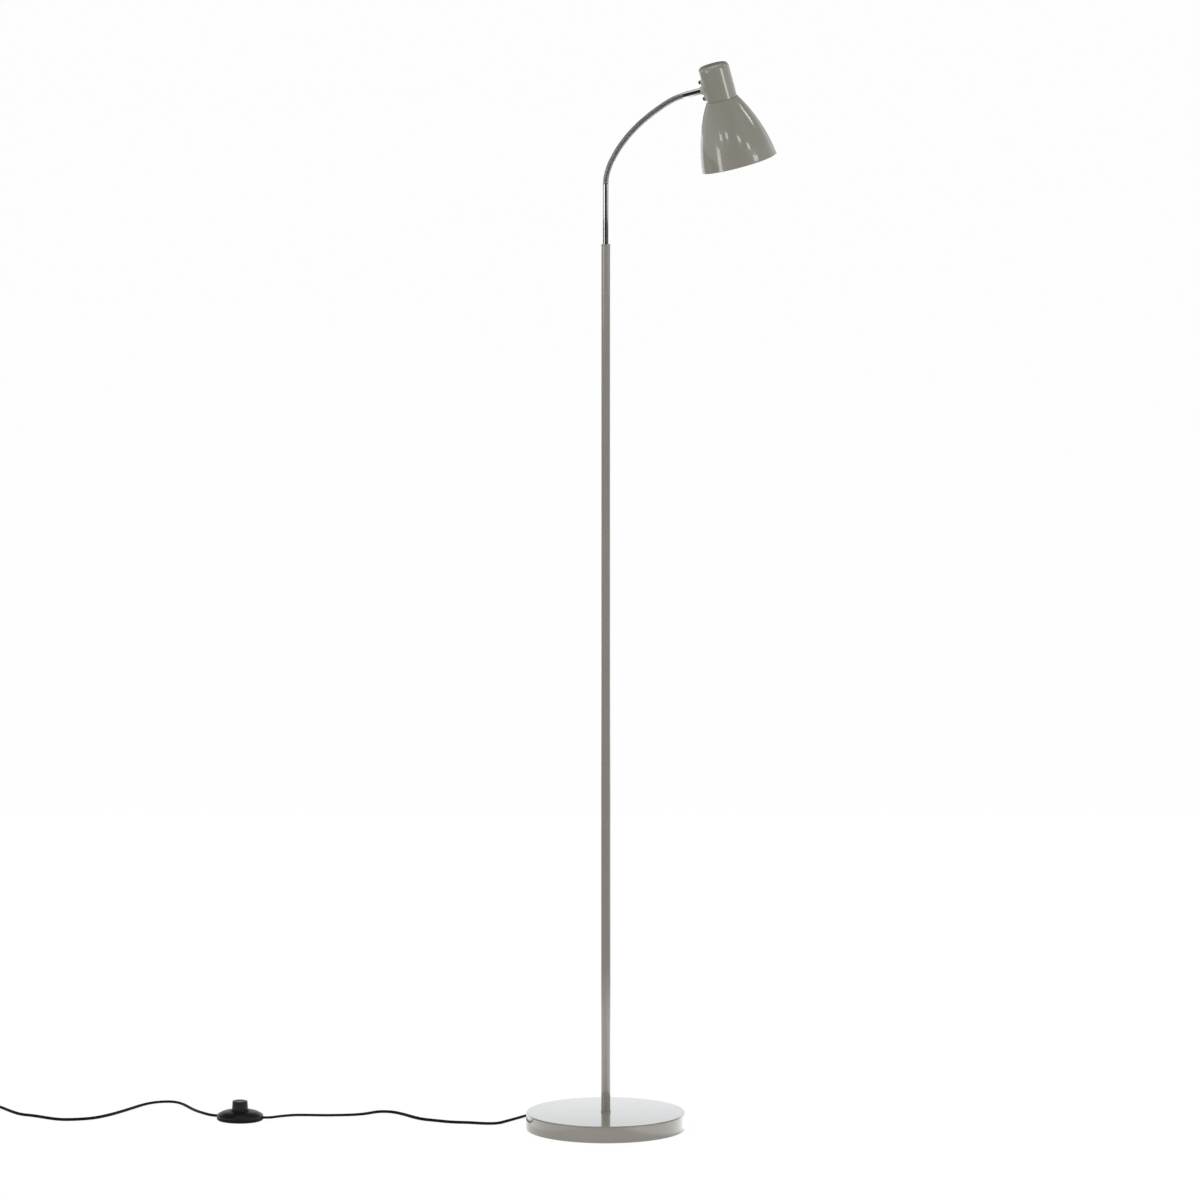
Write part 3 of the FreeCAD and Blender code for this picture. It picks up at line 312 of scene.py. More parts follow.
def spun(name, outline, place=Matrix.Identity(4), segments=96, closed=True, sharp_angle=32,
         bands=None):
    """Piece turned about Z from an outline of (radius, height) points in metres.

    bands gives, for each stretch between outline points, the material slot of its faces.
    """
    shape = bmesh.new()
    rings = []
    for radius, height in outline:
        if radius < 1e-7:
            rings.append([shape.verts.new((0, 0, height))])
            continue
        rings.append([
            shape.verts.new((radius * math.cos(2 * math.pi * i / segments),
                             radius * math.sin(2 * math.pi * i / segments), height))
            for i in range(segments)
        ])
    stretches = len(rings) if closed else len(rings) - 1
    for k in range(stretches):
        low, high = rings[k], rings[(k + 1) % len(rings)]
        if len(low) == 1 and len(high) == 1:
            continue
        for i in range(segments):
            j = (i + 1) % segments
            if len(low) == 1:
                face = shape.faces.new((low[0], high[i], high[j]))
            elif len(high) == 1:
                face = shape.faces.new((low[i], low[j], high[0]))
            else:
                face = shape.faces.new((low[i], low[j], high[j], high[i]))
            if bands:
                face.material_index = bands[k]
    return put_in_scene(name, smooth_mesh(shape, name, sharp_angle), place)


def along_x(x=0.0):
    """Place that lays a piece turned about Z along +X, with its zero at x."""
    return Matrix.Translation((x, 0, 0)) @ Matrix.Rotation(math.pi / 2, 4, "Y")


def swept(name, points, section, ups, sharp_angle=40):
    """Mesh of a closed section carried along points, with a given up direction at each."""
    shape = bmesh.new()
    rings = []
    for i, point in enumerate(points):
        way = way_at(points, i)
        side = way.cross(ups[i]).normalized()
        up = side.cross(way).normalized()
        rings.append([shape.verts.new(point + side * a + up * b) for a, b in section])
    skin(shape, rings)
    shape.faces.new(rings[0])
    shape.faces.new(list(reversed(rings[-1])))
    return put_in_scene(name, smooth_mesh(shape, name, sharp_angle))


# ---------------------------------------------------------------- shader effects
def effect_group(name, inputs, outputs):
    """An empty shader group with its named sockets, or None if it is made already."""
    if name in bpy.data.node_groups:
        return None
    group = bpy.data.node_groups.new(name, "ShaderNodeTree")
    for label, kind, value in inputs:
        socket = group.interface.new_socket(label, in_out="INPUT", socket_type=kind)
        socket.default_value = value
    for label, kind in outputs:
        group.interface.new_socket(label, in_out="OUTPUT", socket_type=kind)
    return group


def node(tree, kind, **values):
    """New node; a value is a socket by name (spaces as _) or one of the node's own settings."""
    made = tree.nodes.new(kind)
    for key, value in values.items():
        if hasattr(made, key):
            setattr(made, key, value)
        else:
            made.inputs[key.replace("_", " ")].default_value = value
    return made


def ramp(tree, value, low, high, at_low, at_high):
    """Smooth step of a value from one number to another."""
    step = node(tree, "ShaderNodeMapRange", From_Min=low, From_Max=high, To_Min=at_low,
                To_Max=at_high, interpolation_type="SMOOTHSTEP")
    tree.links.new(value, step.inputs["Value"])
    return step.outputs["Result"]


def combined(tree, operation, a, b):
    """Output of a math node that takes two sockets."""
    both = node(tree, "ShaderNodeMath", operation=operation)
    tree.links.new(a, both.inputs[0])
    tree.links.new(b, both.inputs[1])
    return both.outputs[0]


def product(tree, a, b):
    return combined(tree, "MULTIPLY", a, b)


def total(tree, a, b):
    return combined(tree, "ADD", a, b)


def mixed(tree, share, usual, other):
    """Output of a shader that turns from the usual one to the other with the share."""
    mix = node(tree, "ShaderNodeMixShader")
    tree.links.new(share, mix.inputs["Fac"])
    tree.links.new(usual, mix.inputs[1])
    tree.links.new(other, mix.inputs[2])
    return mix.outputs[0]


def mottle_group():
    """Slow drift of tone and gloss over a surface, with a fine grain for its bump."""
    name = "Mottle and grain"
    group = effect_group(name, [
        ("Light Tone", "NodeSocketColor", (0.5, 0.5, 0.5, 1)),
        ("Deep Tone", "NodeSocketColor", (0.4, 0.4, 0.4, 1)),
        ("Patch Scale", "NodeSocketFloat", 12.0),
        ("Grain Scale", "NodeSocketFloat", 900.0),
        ("Smooth", "NodeSocketFloat", 0.2),
        ("Rough", "NodeSocketFloat", 0.3),
    ], [("Color", "NodeSocketColor"), ("Roughness", "NodeSocketFloat"),
        ("Height", "NodeSocketFloat")])
    if group is None:
        return bpy.data.node_groups[name]
    links = group.links
    given = group.nodes.new("NodeGroupInput")
    out = group.nodes.new("NodeGroupOutput")
    where = node(group, "ShaderNodeTexCoord")
    patches = node(group, "ShaderNodeTexNoise", Detail=3.0, Roughness=0.55)
    links.new(where.outputs["Object"], patches.inputs["Vector"])
    links.new(given.outputs["Patch Scale"], patches.inputs["Scale"])
    grain = node(group, "ShaderNodeTexNoise", Detail=2.0, Roughness=0.6)
    links.new(where.outputs["Object"], grain.inputs["Vector"])
    links.new(given.outputs["Grain Scale"], grain.inputs["Scale"])
    tone = node(group, "ShaderNodeMix", data_type="RGBA")
    spread = node(group, "ShaderNodeMapRange", From_Min=0.35, From_Max=0.65)
    links.new(patches.outputs["Fac"], spread.inputs["Value"])
    links.new(spread.outputs["Result"], tone.inputs["Factor"])
    links.new(given.outputs["Light Tone"], tone.inputs["A"])
    links.new(given.outputs["Deep Tone"], tone.inputs["B"])
    gloss = node(group, "ShaderNodeMapRange", From_Min=0.3, From_Max=0.7)
    links.new(grain.outputs["Fac"], gloss.inputs["Value"])
    links.new(given.outputs["Smooth"], gloss.inputs["To Min"])
    links.new(given.outputs["Rough"], gloss.inputs["To Max"])
    links.new(tone.outputs["Result"], out.inputs["Color"])
    links.new(gloss.outputs["Result"], out.inputs["Roughness"])
    links.new(grain.outputs["Fac"], out.inputs["Height"])
    return group


def dust_group():
    """Fine dust that settles on faces that look up, as a mask."""
    name = "Settled dust"
    group = effect_group(name, [
        ("Scale", "NodeSocketFloat", 240.0), ("Amount", "NodeSocketFloat", 0.1),
    ], [("Mask", "NodeSocketFloat")])
    if group is None:
        return bpy.data.node_groups[name]
    links = group.links
    given = group.nodes.new("NodeGroupInput")
    out = group.nodes.new("NodeGroupOutput")
    where = node(group, "ShaderNodeTexCoord")
    specks = node(group, "ShaderNodeTexNoise", Detail=4.0, Roughness=0.7)
    links.new(where.outputs["Object"], specks.inputs["Vector"])
    links.new(given.outputs["Scale"], specks.inputs["Scale"])
    few = node(group, "ShaderNodeMapRange", From_Min=0.5, From_Max=0.85)
    links.new(specks.outputs["Fac"], few.inputs["Value"])
    facing = node(group, "ShaderNodeNewGeometry")
    split = node(group, "ShaderNodeSeparateXYZ")
    links.new(facing.outputs["Normal"], split.inputs["Vector"])
    upward = node(group, "ShaderNodeMapRange", From_Min=0.3, From_Max=0.95)
    links.new(split.outputs["Z"], upward.inputs["Value"])
    both = product(group, few.outputs["Result"], upward.outputs["Result"])
    links.new(product(group, both, given.outputs["Amount"]), out.inputs["Mask"])
    return group


def grouped(tree, group, **values):
    """New node that uses a shader group; a value is a socket by name, with spaces as _."""
    made = tree.nodes.new("ShaderNodeGroup")
    made.node_tree = group
    for key, value in values.items():
        made.inputs[key.replace("_", " ")].default_value = value
    return made


def tint(color, factor):
    """A colour made lighter or darker, with its alpha."""
    return (*[max(0.0, min(1.0, c * factor)) for c in color], 1.0)


def surface(name, color, drift=0.05, patch=12.0, grain=900.0, smooth=0.2, rough=0.3, bump=0.05,
            depth=0.05 * MM, dust=0.0, **fixed):
    """Material with drifting tone, uneven gloss and a fine grain. What is in fixed goes to the
    shader's own sockets."""
    if name in bpy.data.materials:
        return bpy.data.materials[name]
    material = bpy.data.materials.new(name)
    material.use_nodes = True
    tree = material.node_tree
    shader = tree.nodes["Principled BSDF"]
    mottle = grouped(tree, mottle_group(), Patch_Scale=patch, Grain_Scale=grain,
                     Smooth=smooth, Rough=rough)
    mottle.inputs["Light Tone"].default_value = tint(color, 1 + drift)
    mottle.inputs["Deep Tone"].default_value = tint(color, 1 - drift)
    tone = mottle.outputs["Color"]
    if dust > 0:
        specks = grouped(tree, dust_group(), Amount=dust)
        powdered = node(tree, "ShaderNodeMix", data_type="RGBA")
        powdered.inputs["B"].default_value = (0.45, 0.44, 0.42, 1)
        tree.links.new(specks.outputs["Mask"], powdered.inputs["Factor"])
        tree.links.new(tone, powdered.inputs["A"])
        tone = powdered.outputs["Result"]
    tree.links.new(tone, shader.inputs["Base Color"])
    tree.links.new(mottle.outputs["Roughness"], shader.inputs["Roughness"])
    if bump > 0:
        relief = node(tree, "ShaderNodeBump", Strength=bump, Distance=depth)
        tree.links.new(mottle.outputs["Height"], relief.inputs["Height"])
        tree.links.new(relief.outputs["Normal"], shader.inputs["Normal"])
    for key, value in fixed.items():
        shader.inputs[key.replace("_", " ")].default_value = value
    return material


def enamel():
    looks = bpy.context.scene.lamp_finishes
    gloss = looks.paint_roughness
    return surface("Warm grey enamel", looks.paint, drift=0.025, patch=9, grain=420, smooth=gloss,
                   rough=gloss + 0.05, bump=0.04, depth=0.03 * MM, Coat_Weight=1.0,
                   Coat_Roughness=0.03)


def black_plastic():
    return surface("Black moulded plastic", bpy.context.scene.lamp_finishes.black, drift=0.2,
                   patch=60, grain=2600, smooth=0.3, rough=0.44, bump=0.12, depth=0.02 * MM,
                   dust=0.005, Specular_IOR_Level=0.25)


def black_cord():
    return surface("Black cord sheath", bpy.context.scene.lamp_finishes.black, drift=0.3,
                   patch=90, grain=1800, smooth=0.45, rough=0.62, bump=0.15, depth=0.03 * MM,
                   Specular_IOR_Level=0.08)


def bright_chrome():
    return surface("Bright chrome", bpy.context.scene.lamp_finishes.chrome, drift=0.02, patch=40,
                   grain=700, smooth=0.04, rough=0.09, bump=0.02, depth=0.01 * MM, Metallic=1.0)


def wound_steel():
    return surface("Wound steel", bpy.context.scene.lamp_finishes.neck, drift=0.1, patch=120,
                   grain=1500, smooth=0.34, rough=0.46, bump=0.05, depth=0.02 * MM, Metallic=1.0)


def zinc_steel():
    return surface("Zinc plated steel", (0.46, 0.47, 0.48), drift=0.12, patch=150, grain=1400,
                   smooth=0.25, rough=0.42, bump=0.08, depth=0.02 * MM, Metallic=1.0)


def rough_casting():
    return surface("Rough cast iron", (0.05, 0.05, 0.052), drift=0.25, patch=70, grain=500,
                   smooth=0.65, rough=0.9, bump=0.5, depth=0.3 * MM, Metallic=0.6)


def pad_rubber():
    return surface("Foamed rubber pad", (0.03, 0.03, 0.03), drift=0.2, patch=60, grain=900,
                   smooth=0.75, rough=0.95, bump=0.5, depth=0.15 * MM)


def white_moulding():
    return surface("White moulding", (0.72, 0.71, 0.67), drift=0.03, patch=30, grain=1200,
                   smooth=0.3, rough=0.42, bump=0.06, depth=0.02 * MM)


def yellow_brass():
    return surface("Brass", (0.62, 0.44, 0.16), drift=0.1, patch=90, grain=1000, smooth=0.2,
                   rough=0.34, bump=0.05, depth=0.02 * MM, Metallic=1.0)


def lead_sheath():
    return surface("Core insulation", (0.5, 0.49, 0.46), drift=0.05, patch=60, grain=1500,
                   smooth=0.4, rough=0.5, bump=0.05, depth=0.02 * MM)


def opal_glass():
    return surface("Opal glass", (0.86, 0.85, 0.81), drift=0.015, patch=20, grain=700,
                   smooth=0.1, rough=0.16, bump=0.02, depth=0.01 * MM, Coat_Weight=0.5,
                   Coat_Roughness=0.05)


def shade_lining():
    return surface("White shade lining", (0.74, 0.73, 0.7), drift=0.02, patch=14, grain=600,
                   smooth=0.35, rough=0.45, bump=0.05, depth=0.03 * MM)


def finish(piece, material, body, replaced=()):
    """Gives a piece its material and body, and hides the CAD nodes that it stands for."""
    if not piece.data.materials:
        piece.data.materials.append(material)
    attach(piece, body)
    if replaced:
        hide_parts(*replaced)
    return piece


def dress(material, *nodes):
    """Gives CAD nodes that stay as they are a better material."""
    for name in nodes:
        piece = frame["nodes"][name]
        if not piece.material_slots:
            piece.data.materials.append(material)
        for held in piece.material_slots:
            held.material = material


# ---------------------------------------------------------------- stage
FILM_WIDTH = 36             # mm, which the lens setting counts on
CAMERA_ASIDE = -8.08 * MM
FLOOR_WHITE = 1.03          # strength of the white that the camera sees as the floor
FLOOR_WHITE_SHARE = 0.93    # the rest is the lit floor with its shadows


class LAMP_OT_stage(bpy.types.Operator):
    """Camera, floor, white surroundings and soft studio lights"""

    bl_idname = "lamp.stage"
    bl_label = "Build the studio"

    def execute(self, context):
        self.camera(context)
        self.floor()
        self.surroundings(context)
        self.lights(context)
        context.scene.view_settings.view_transform = "Standard"
        return {"FINISHED"}

    def camera(self, context):
        studio = context.scene.lamp_studio
        data = bpy.data.cameras.new("Camera")
        data.lens = studio.lens
        data.sensor_width = FILM_WIDTH
        data.sensor_fit = "HORIZONTAL"
        data.clip_end = 100
        camera = bpy.data.objects.new("Camera", data)
        context.scene.collection.objects.link(camera)
        camera.location = (CAMERA_ASIDE, -studio.camera_distance, studio.camera_height)
        camera.rotation_euler = (math.pi / 2 - studio.camera_pitch, 0, 0)
        context.scene.camera = camera

    def floor(self):
        shape = bmesh.new()
        bmesh.ops.create_grid(shape, x_segments=24, y_segments=24, size=14)
        floor = put_in_scene("studio_floor", smooth_mesh(shape, "studio_floor", 30))
        floor.location.z = -0.2 * MM
        material = bpy.data.materials.new("Pale studio floor")
        material.use_nodes = True
        tree = material.node_tree
        shader = tree.nodes["Principled BSDF"]
        mottle = grouped(tree, mottle_group(), Patch_Scale=0.8, Grain_Scale=60.0, Smooth=0.6,
                         Rough=0.75)
        mottle.inputs["Light Tone"].default_value = (0.86, 0.86, 0.86, 1)
        mottle.inputs["Deep Tone"].default_value = (0.84, 0.84, 0.84, 1)
        tree.links.new(mottle.outputs["Color"], shader.inputs["Base Color"])
        tree.links.new(mottle.outputs["Roughness"], shader.inputs["Roughness"])
        white_where_seen(tree, shader.outputs["BSDF"], tree.nodes["Material Output"])
        floor.data.materials.append(material)

    def surroundings(self, context):
        """White for the camera, an even light on matt surfaces, and for reflections a room that is
        dark in the middle, lighter at both sides and fades upwards and towards the front."""
        world = bpy.data.worlds.new("Studio surroundings")
        context.scene.world = world
        world.use_nodes = True
        tree = world.node_tree
        links = tree.links
        soft = tree.nodes["Background"]
        soft.inputs["Color"].default_value = (1, 1, 1, 1)
        where = node(tree, "ShaderNodeTexCoord")
        split = node(tree, "ShaderNodeSeparateXYZ")
        links.new(where.outputs["Generated"], split.inputs["Vector"])
        links.new(ramp(tree, split.outputs["Z"], 0.05, 0.8, 0.9, 0.42), soft.inputs["Strength"])
        right = ramp(tree, split.outputs["X"], 0.1, 0.55, 0.14, 1.0)
        left = ramp(tree, split.outputs["X"], -0.8, -0.2, 0.6, 0.0)
        sides = total(tree, right, left)
        height = ramp(tree, split.outputs["Z"], 0.12, 0.5, 1.0, 0.3)
        behind = ramp(tree, split.outputs["Y"], -0.95, -0.35, 0.3, 1.0)
        strength = product(tree, product(tree, sides, height), behind)
        seen_in_gloss = node(tree, "ShaderNodeBackground")
        links.new(strength, seen_in_gloss.inputs["Strength"])
        seen = node(tree, "ShaderNodeBackground", Strength=1.0)
        seen.inputs["Color"].default_value = (1, 1, 1, 1)
        path = node(tree, "ShaderNodeLightPath").outputs
        away = combined(tree, "MAXIMUM", path["Is Camera Ray"], path["Is Transmission Ray"])
        lit = mixed(tree, path["Is Glossy Ray"], soft.outputs[0], seen_in_gloss.outputs[0])
        links.new(mixed(tree, away, lit, seen.outputs[0]),
                  tree.nodes["World Output"].inputs["Surface"])

    def lights(self, context):
        studio = context.scene.lamp_studio
        power = studio.key_power
        middle = Vector((0, 0, 0.8))
        head = Vector((0.2, 0, 1.4))
        self.lamp("Key", (-2.6, -3.0, 3.4), middle, 2.2, 2.2, power * 0.45, in_gloss=False)
        self.lamp("Fill", (3.2, -2.2, 2.0), middle, 0.9, 1.6, power * 0.3)
        self.lamp("Top", (-0.4, 0.3, 4.2), middle, 2.6, 2.0, power * 0.3)
        self.lamp("Left strip", (-3.0, -2.0, 1.3), head, 0.7, 1.0, power * 0.13)
        self.lamp("Flank", (2.44, 0.81, 3.23), head, 0.35, 0.6, power * 0.06)
        self.lamp("Low card", (0, 2.6, 0.62), Vector((0, 0, 0.62)), 6.0, 1.2, power * 0.4,
                  tone=(0.94, 0.97, 1.0))
        for number, place in enumerate(((-2.55, -2.66, 2.57), (-1.34, -3.3, 3.04),
                                        (1.16, -3.33, 3.4), (2.58, -2.65, 3.22))):
            self.lamp(f"Window {number + 1}", place, head, 0.5, 0.32, power * 0.04)

    def lamp(self, name, place, target, wide, tall, power, in_gloss=True,
             tone=(1, 1, 1)):
        """Rectangular soft light that faces its target and stays out of the camera's sight."""
        data = bpy.data.lights.new(name, "AREA")
        data.shape = "RECTANGLE"
        data.size = wide
        data.size_y = tall
        data.energy = power
        data.color = tone
        lamp = bpy.data.objects.new(name, data)
        bpy.context.scene.collection.objects.link(lamp)
        lamp.location = place
        lamp.rotation_euler = (target - Vector(place)).to_track_quat("-Z", "Y").to_euler()
        lamp.visible_camera = False
        lamp.visible_glossy = in_gloss


def white_where_seen(tree, lit, output):
    """Plain white with faint shadows for the camera, and a floor that is white near the lamp and
    darker in front of it for reflections."""
    where = node(tree, "ShaderNodeTexCoord")
    split = node(tree, "ShaderNodeSeparateXYZ")
    tree.links.new(where.outputs["Object"], split.inputs["Vector"])
    reach = node(tree, "ShaderNodeVectorMath", operation="LENGTH")
    tree.links.new(where.outputs["Object"], reach.inputs[0])
    near = ramp(tree, reach.outputs["Value"], 0.5, 1.5, 1.0, 0.0)
    beside = total(tree, ramp(tree, split.outputs["X"], 0.1, 0.135, 0.9, 1.9),
                   ramp(tree, split.outputs["X"], -0.165, -0.14, 0.5, 0.0))
    front = ramp(tree, split.outputs["Y"], -1.0, 1.2, 0.12, 1.0)
    to_right = ramp(tree, split.outputs["X"], -3.0, 3.0, 0.25, 1.0)
    brightest = combined(tree, "MAXIMUM", product(tree, near, beside),
                         product(tree, front, to_right))
    path = node(tree, "ShaderNodeLightPath").outputs
    reflected = node(tree, "ShaderNodeEmission")
    tree.links.new(brightest, reflected.inputs["Strength"])
    seen = node(tree, "ShaderNodeEmission", Strength=FLOOR_WHITE)
    share = node(tree, "ShaderNodeMath", operation="MULTIPLY")
    share.inputs[1].default_value = FLOOR_WHITE_SHARE
    tree.links.new(path["Is Camera Ray"], share.inputs[0])
    shown = mixed(tree, path["Is Glossy Ray"], lit, reflected.outputs[0])
    tree.links.new(mixed(tree, share.outputs[0], shown, seen.outputs[0]),
                   output.inputs["Surface"])


# ---------------------------------------------------------------- cord
def spline_line(points, name):
    """The smooth line of a NURBS spline with these control points, as a list of points."""
    curve = bpy.data.curves.new(name, "CURVE")
    curve.dimensions = "3D"
    curve.resolution_u = 6
    spline = curve.splines.new("NURBS")
    spline.points.add(len(points) - 1)
    for knot, point in zip(spline.points, points):
        knot.co = (*point, 1)
    spline.order_u = 3
    spline.use_endpoint_u = True
    holder = bpy.data.objects.new(name, curve)
    bpy.context.scene.collection.objects.link(holder)
    mesh = bpy.data.meshes.new_from_object(holder)
    line = [v.co.copy() for v in mesh.vertices]
    bpy.data.objects.remove(holder)
    bpy.data.curves.remove(curve)
    bpy.data.meshes.remove(mesh)
    return line


def twin_section(width, thickness, steps=14):
    """Outline of a flat twin cord: two round cores side by side with a shallow groove between."""
    radius = thickness / 2
    offset = width / 2 - radius
    # Each core's arc stops short of where the two meet, which leaves the groove.
    waist = math.acos(offset / radius) * 0.82 if offset < radius else 0.35
    section = []
    for side in (1, -1):
        for i in range(steps + 1):
            angle = -(math.pi - waist) + 2 * (math.pi - waist) * i / steps
            section.append((side * (offset + radius * math.cos(angle)),
                            side * radius * math.sin(angle)))
    return section


def line_length(line):
    """Length of a line of points."""
    return sum((b - a).length for a, b in zip(line, line[1:]))


def plug_cord_route():
    """From the switch through the coil's turns to just inside the plug's sleeve."""
    tail = route((-906, 207.9, 8.4)) + [behind_plug(10), behind_plug(-6)]
    return PLUG_SIDE_ROUTE + coil_turns() + tail


def declare_cord(name, points):
    """Works out the smooth line of a cord through these points; the line is not kept."""
    spline_line(points, name + "_line")


class LAMP_OT_cord(bpy.types.Operator):
    """Both lengths of the flat twin cord, the coil of spare length and the gland at the base"""

    bl_idname = "lamp.cord"
    bl_label = "Lay the cord"

    def execute(self, context):
        sizes = context.scene.lamp_sizes
        lamp_side = self.twin_cord("lamp_cord", LAMP_SIDE_ROUTE, sizes, upright_in_coil=False)
        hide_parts("cord_lamp_side")
        plug_side = self.twin_cord("plug_cord", plug_cord_route(), sizes, upright_in_coil=True)
        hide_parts("cord_plug_side", "cord_coil", "cord_tail")
        self.gland()
        dress(black_plastic(), "coil_tie")
        return {"FINISHED"}

    def twin_cord(self, name, points, sizes, upright_in_coil):
        """Flat cord that rocks a little from side to side and stands on edge in the coil."""
        line = spline_line(points, name + "_line")
        section = twin_section(sizes.cord_width, sizes.cord_thickness)
        ups = []
        gone = 0.0
        for i, point in enumerate(line):
            if i:
                gone += (point - line[i - 1]).length
            coiled = 0.0
            if upright_in_coil:
                from_middle = (point - COIL_MIDDLE).xy.length
                coiled = max(0.0, min(1.0, (COIL_REACH - from_middle) / COIL_EASING))
            side = way_at(line, i).cross(UP).normalized()
            sway = CORD_SWAY * math.sin(gone / CORD_SWAY_LENGTH) * (1 - coiled)
            turn = sway + math.pi / 2 * coiled
            ups.append(UP * math.cos(turn) + side * math.sin(turn))
        piece = swept(name, line, section, ups)
        return finish(piece, black_cord(), "stand")

    def gland(self):
        """Black bush with a ribbed taper that guards the cord where it leaves the base."""
        wall = BASE_RADIUS
        flange = wall + 1.5 * MM
        end = GLAND_END
        outline = [(1.8 * MM, wall - 6 * MM), (3.4 * MM, wall - 6 * MM), (3.4 * MM, wall),
                   (5 * MM, wall + 0.1 * MM), (5 * MM, flange - 0.4 * MM),
                   (4.6 * MM, flange), (4.2 * MM, flange + 0.3 * MM)]
        ribs = 7
        start = flange + 0.6 * MM
        step = (end - start) / ribs
        for i in range(ribs):
            base = start + i * step
            radius = (4.2 - 0.85 * i / ribs) * MM
            outline += [(radius, base), (radius, base + 0.62 * step),
                        (radius - 0.7 * MM, base + 0.7 * step),
                        (radius - 0.7 * MM, base + 0.95 * step)]
        outline += [(3.3 * MM, end - 0.2 * MM), (3.0 * MM, end), (1.8 * MM, end)]
        place = GLAND_TURN @ Matrix.Translation((0, 0, GLAND_HEIGHT)) @ along_x()
        piece = spun("gland_taper", outline, place, 48)
        finish(piece, black_plastic(), "stand", ("cord_gland",))


# ---------------------------------------------------------------- base and pole
class LAMP_OT_base(bpy.types.Operator):
    """Enamelled base cover and what lies under it"""

    bl_idname = "lamp.base"
    bl_label = "Finish the base"

    def execute(self, context):
        segments = context.scene.lamp_sizes.round_segments
        low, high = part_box("base_cover")
        radius = (high[0] - low[0]) / 2
        wall = 1.0 * MM
        top = high[2]
        hole = 5.4 * MM
        cover = spun("base_shell", softened([
            (hole, top - wall), (radius - wall, top - wall, 0.8 * MM), (radius - wall, low[2]),
            (radius - 0.2 * MM, low[2]), (radius, low[2] + 0.3 * MM), (radius, top, 2.1 * MM),
            (hole, top),
        ], 8), segments=segments * 2)
        finish(cover, enamel(), "stand", ("base_cover",))
        ring_low, ring_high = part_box("foot_ring")
        ring_radius = (ring_high[0] - ring_low[0]) / 2
        ring = spun("pole_foot_collar", softened([
            (hole, ring_low[2]), (ring_radius, ring_low[2]), (ring_radius, ring_high[2], 0.8 * MM),
            (hole, ring_high[2]),
        ]), segments=segments)
        finish(ring, enamel(), "stand", ("foot_ring",))
        dress(rough_casting(), "base_weight")
        dress(zinc_steel(), "base_plate", "stud_washer", "stud_nut", "pole_stud", "clamp_screws",
              "pole_couplers")
        dress(pad_rubber(), "floor_pad")
        dress(white_moulding(), "cord_clamp")
        dress(lead_sheath(), "feed_lead")
        return {"FINISHED"}


class LAMP_OT_pole(bpy.types.Operator):
    """Three enamelled tubes, their seams and the bush on top"""

    bl_idname = "lamp.pole"
    bl_label = "Finish the pole"

    def execute(self, context):
        segments = context.scene.lamp_sizes.round_segments
        for name in ("pole_lower", "pole_middle", "pole_upper"):
            low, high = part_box(name)
            radius = (high[0] - low[0]) / 2
            bore = radius - 1.25 * MM
            tube = spun(name + "_tube", softened([
                (bore, low[2]), (radius, low[2], 0.5 * MM), (radius, high[2], 0.5 * MM),
                (bore, high[2]),
            ]), segments=segments)
            finish(tube, enamel(), "stand", (name,))
        low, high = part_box("pole_top_bush")
        radius = (high[0] - low[0]) / 2
        under = high[2] - 1.6 * MM
        bush = spun("pole_cap", softened([
            (4.6 * MM, low[2]), (5.1 * MM, low[2]), (5.1 * MM, under), (radius, under, 0.3 * MM),
            (radius, high[2], 0.9 * MM), (4.6 * MM, high[2]),
        ]), segments=segments)
        finish(bush, enamel(), "stand", ("pole_top_bush",))
        return {"FINISHED"}


# ---------------------------------------------------------------- neck
def neck_joints():
    """Places of the neck's ten joints, from the pole to the head."""
    names = [f"neck_{kind}_{i}" for i in range(1, 6) for kind in ("bend", "sway")]
    return [joint_place(name) for name in names]


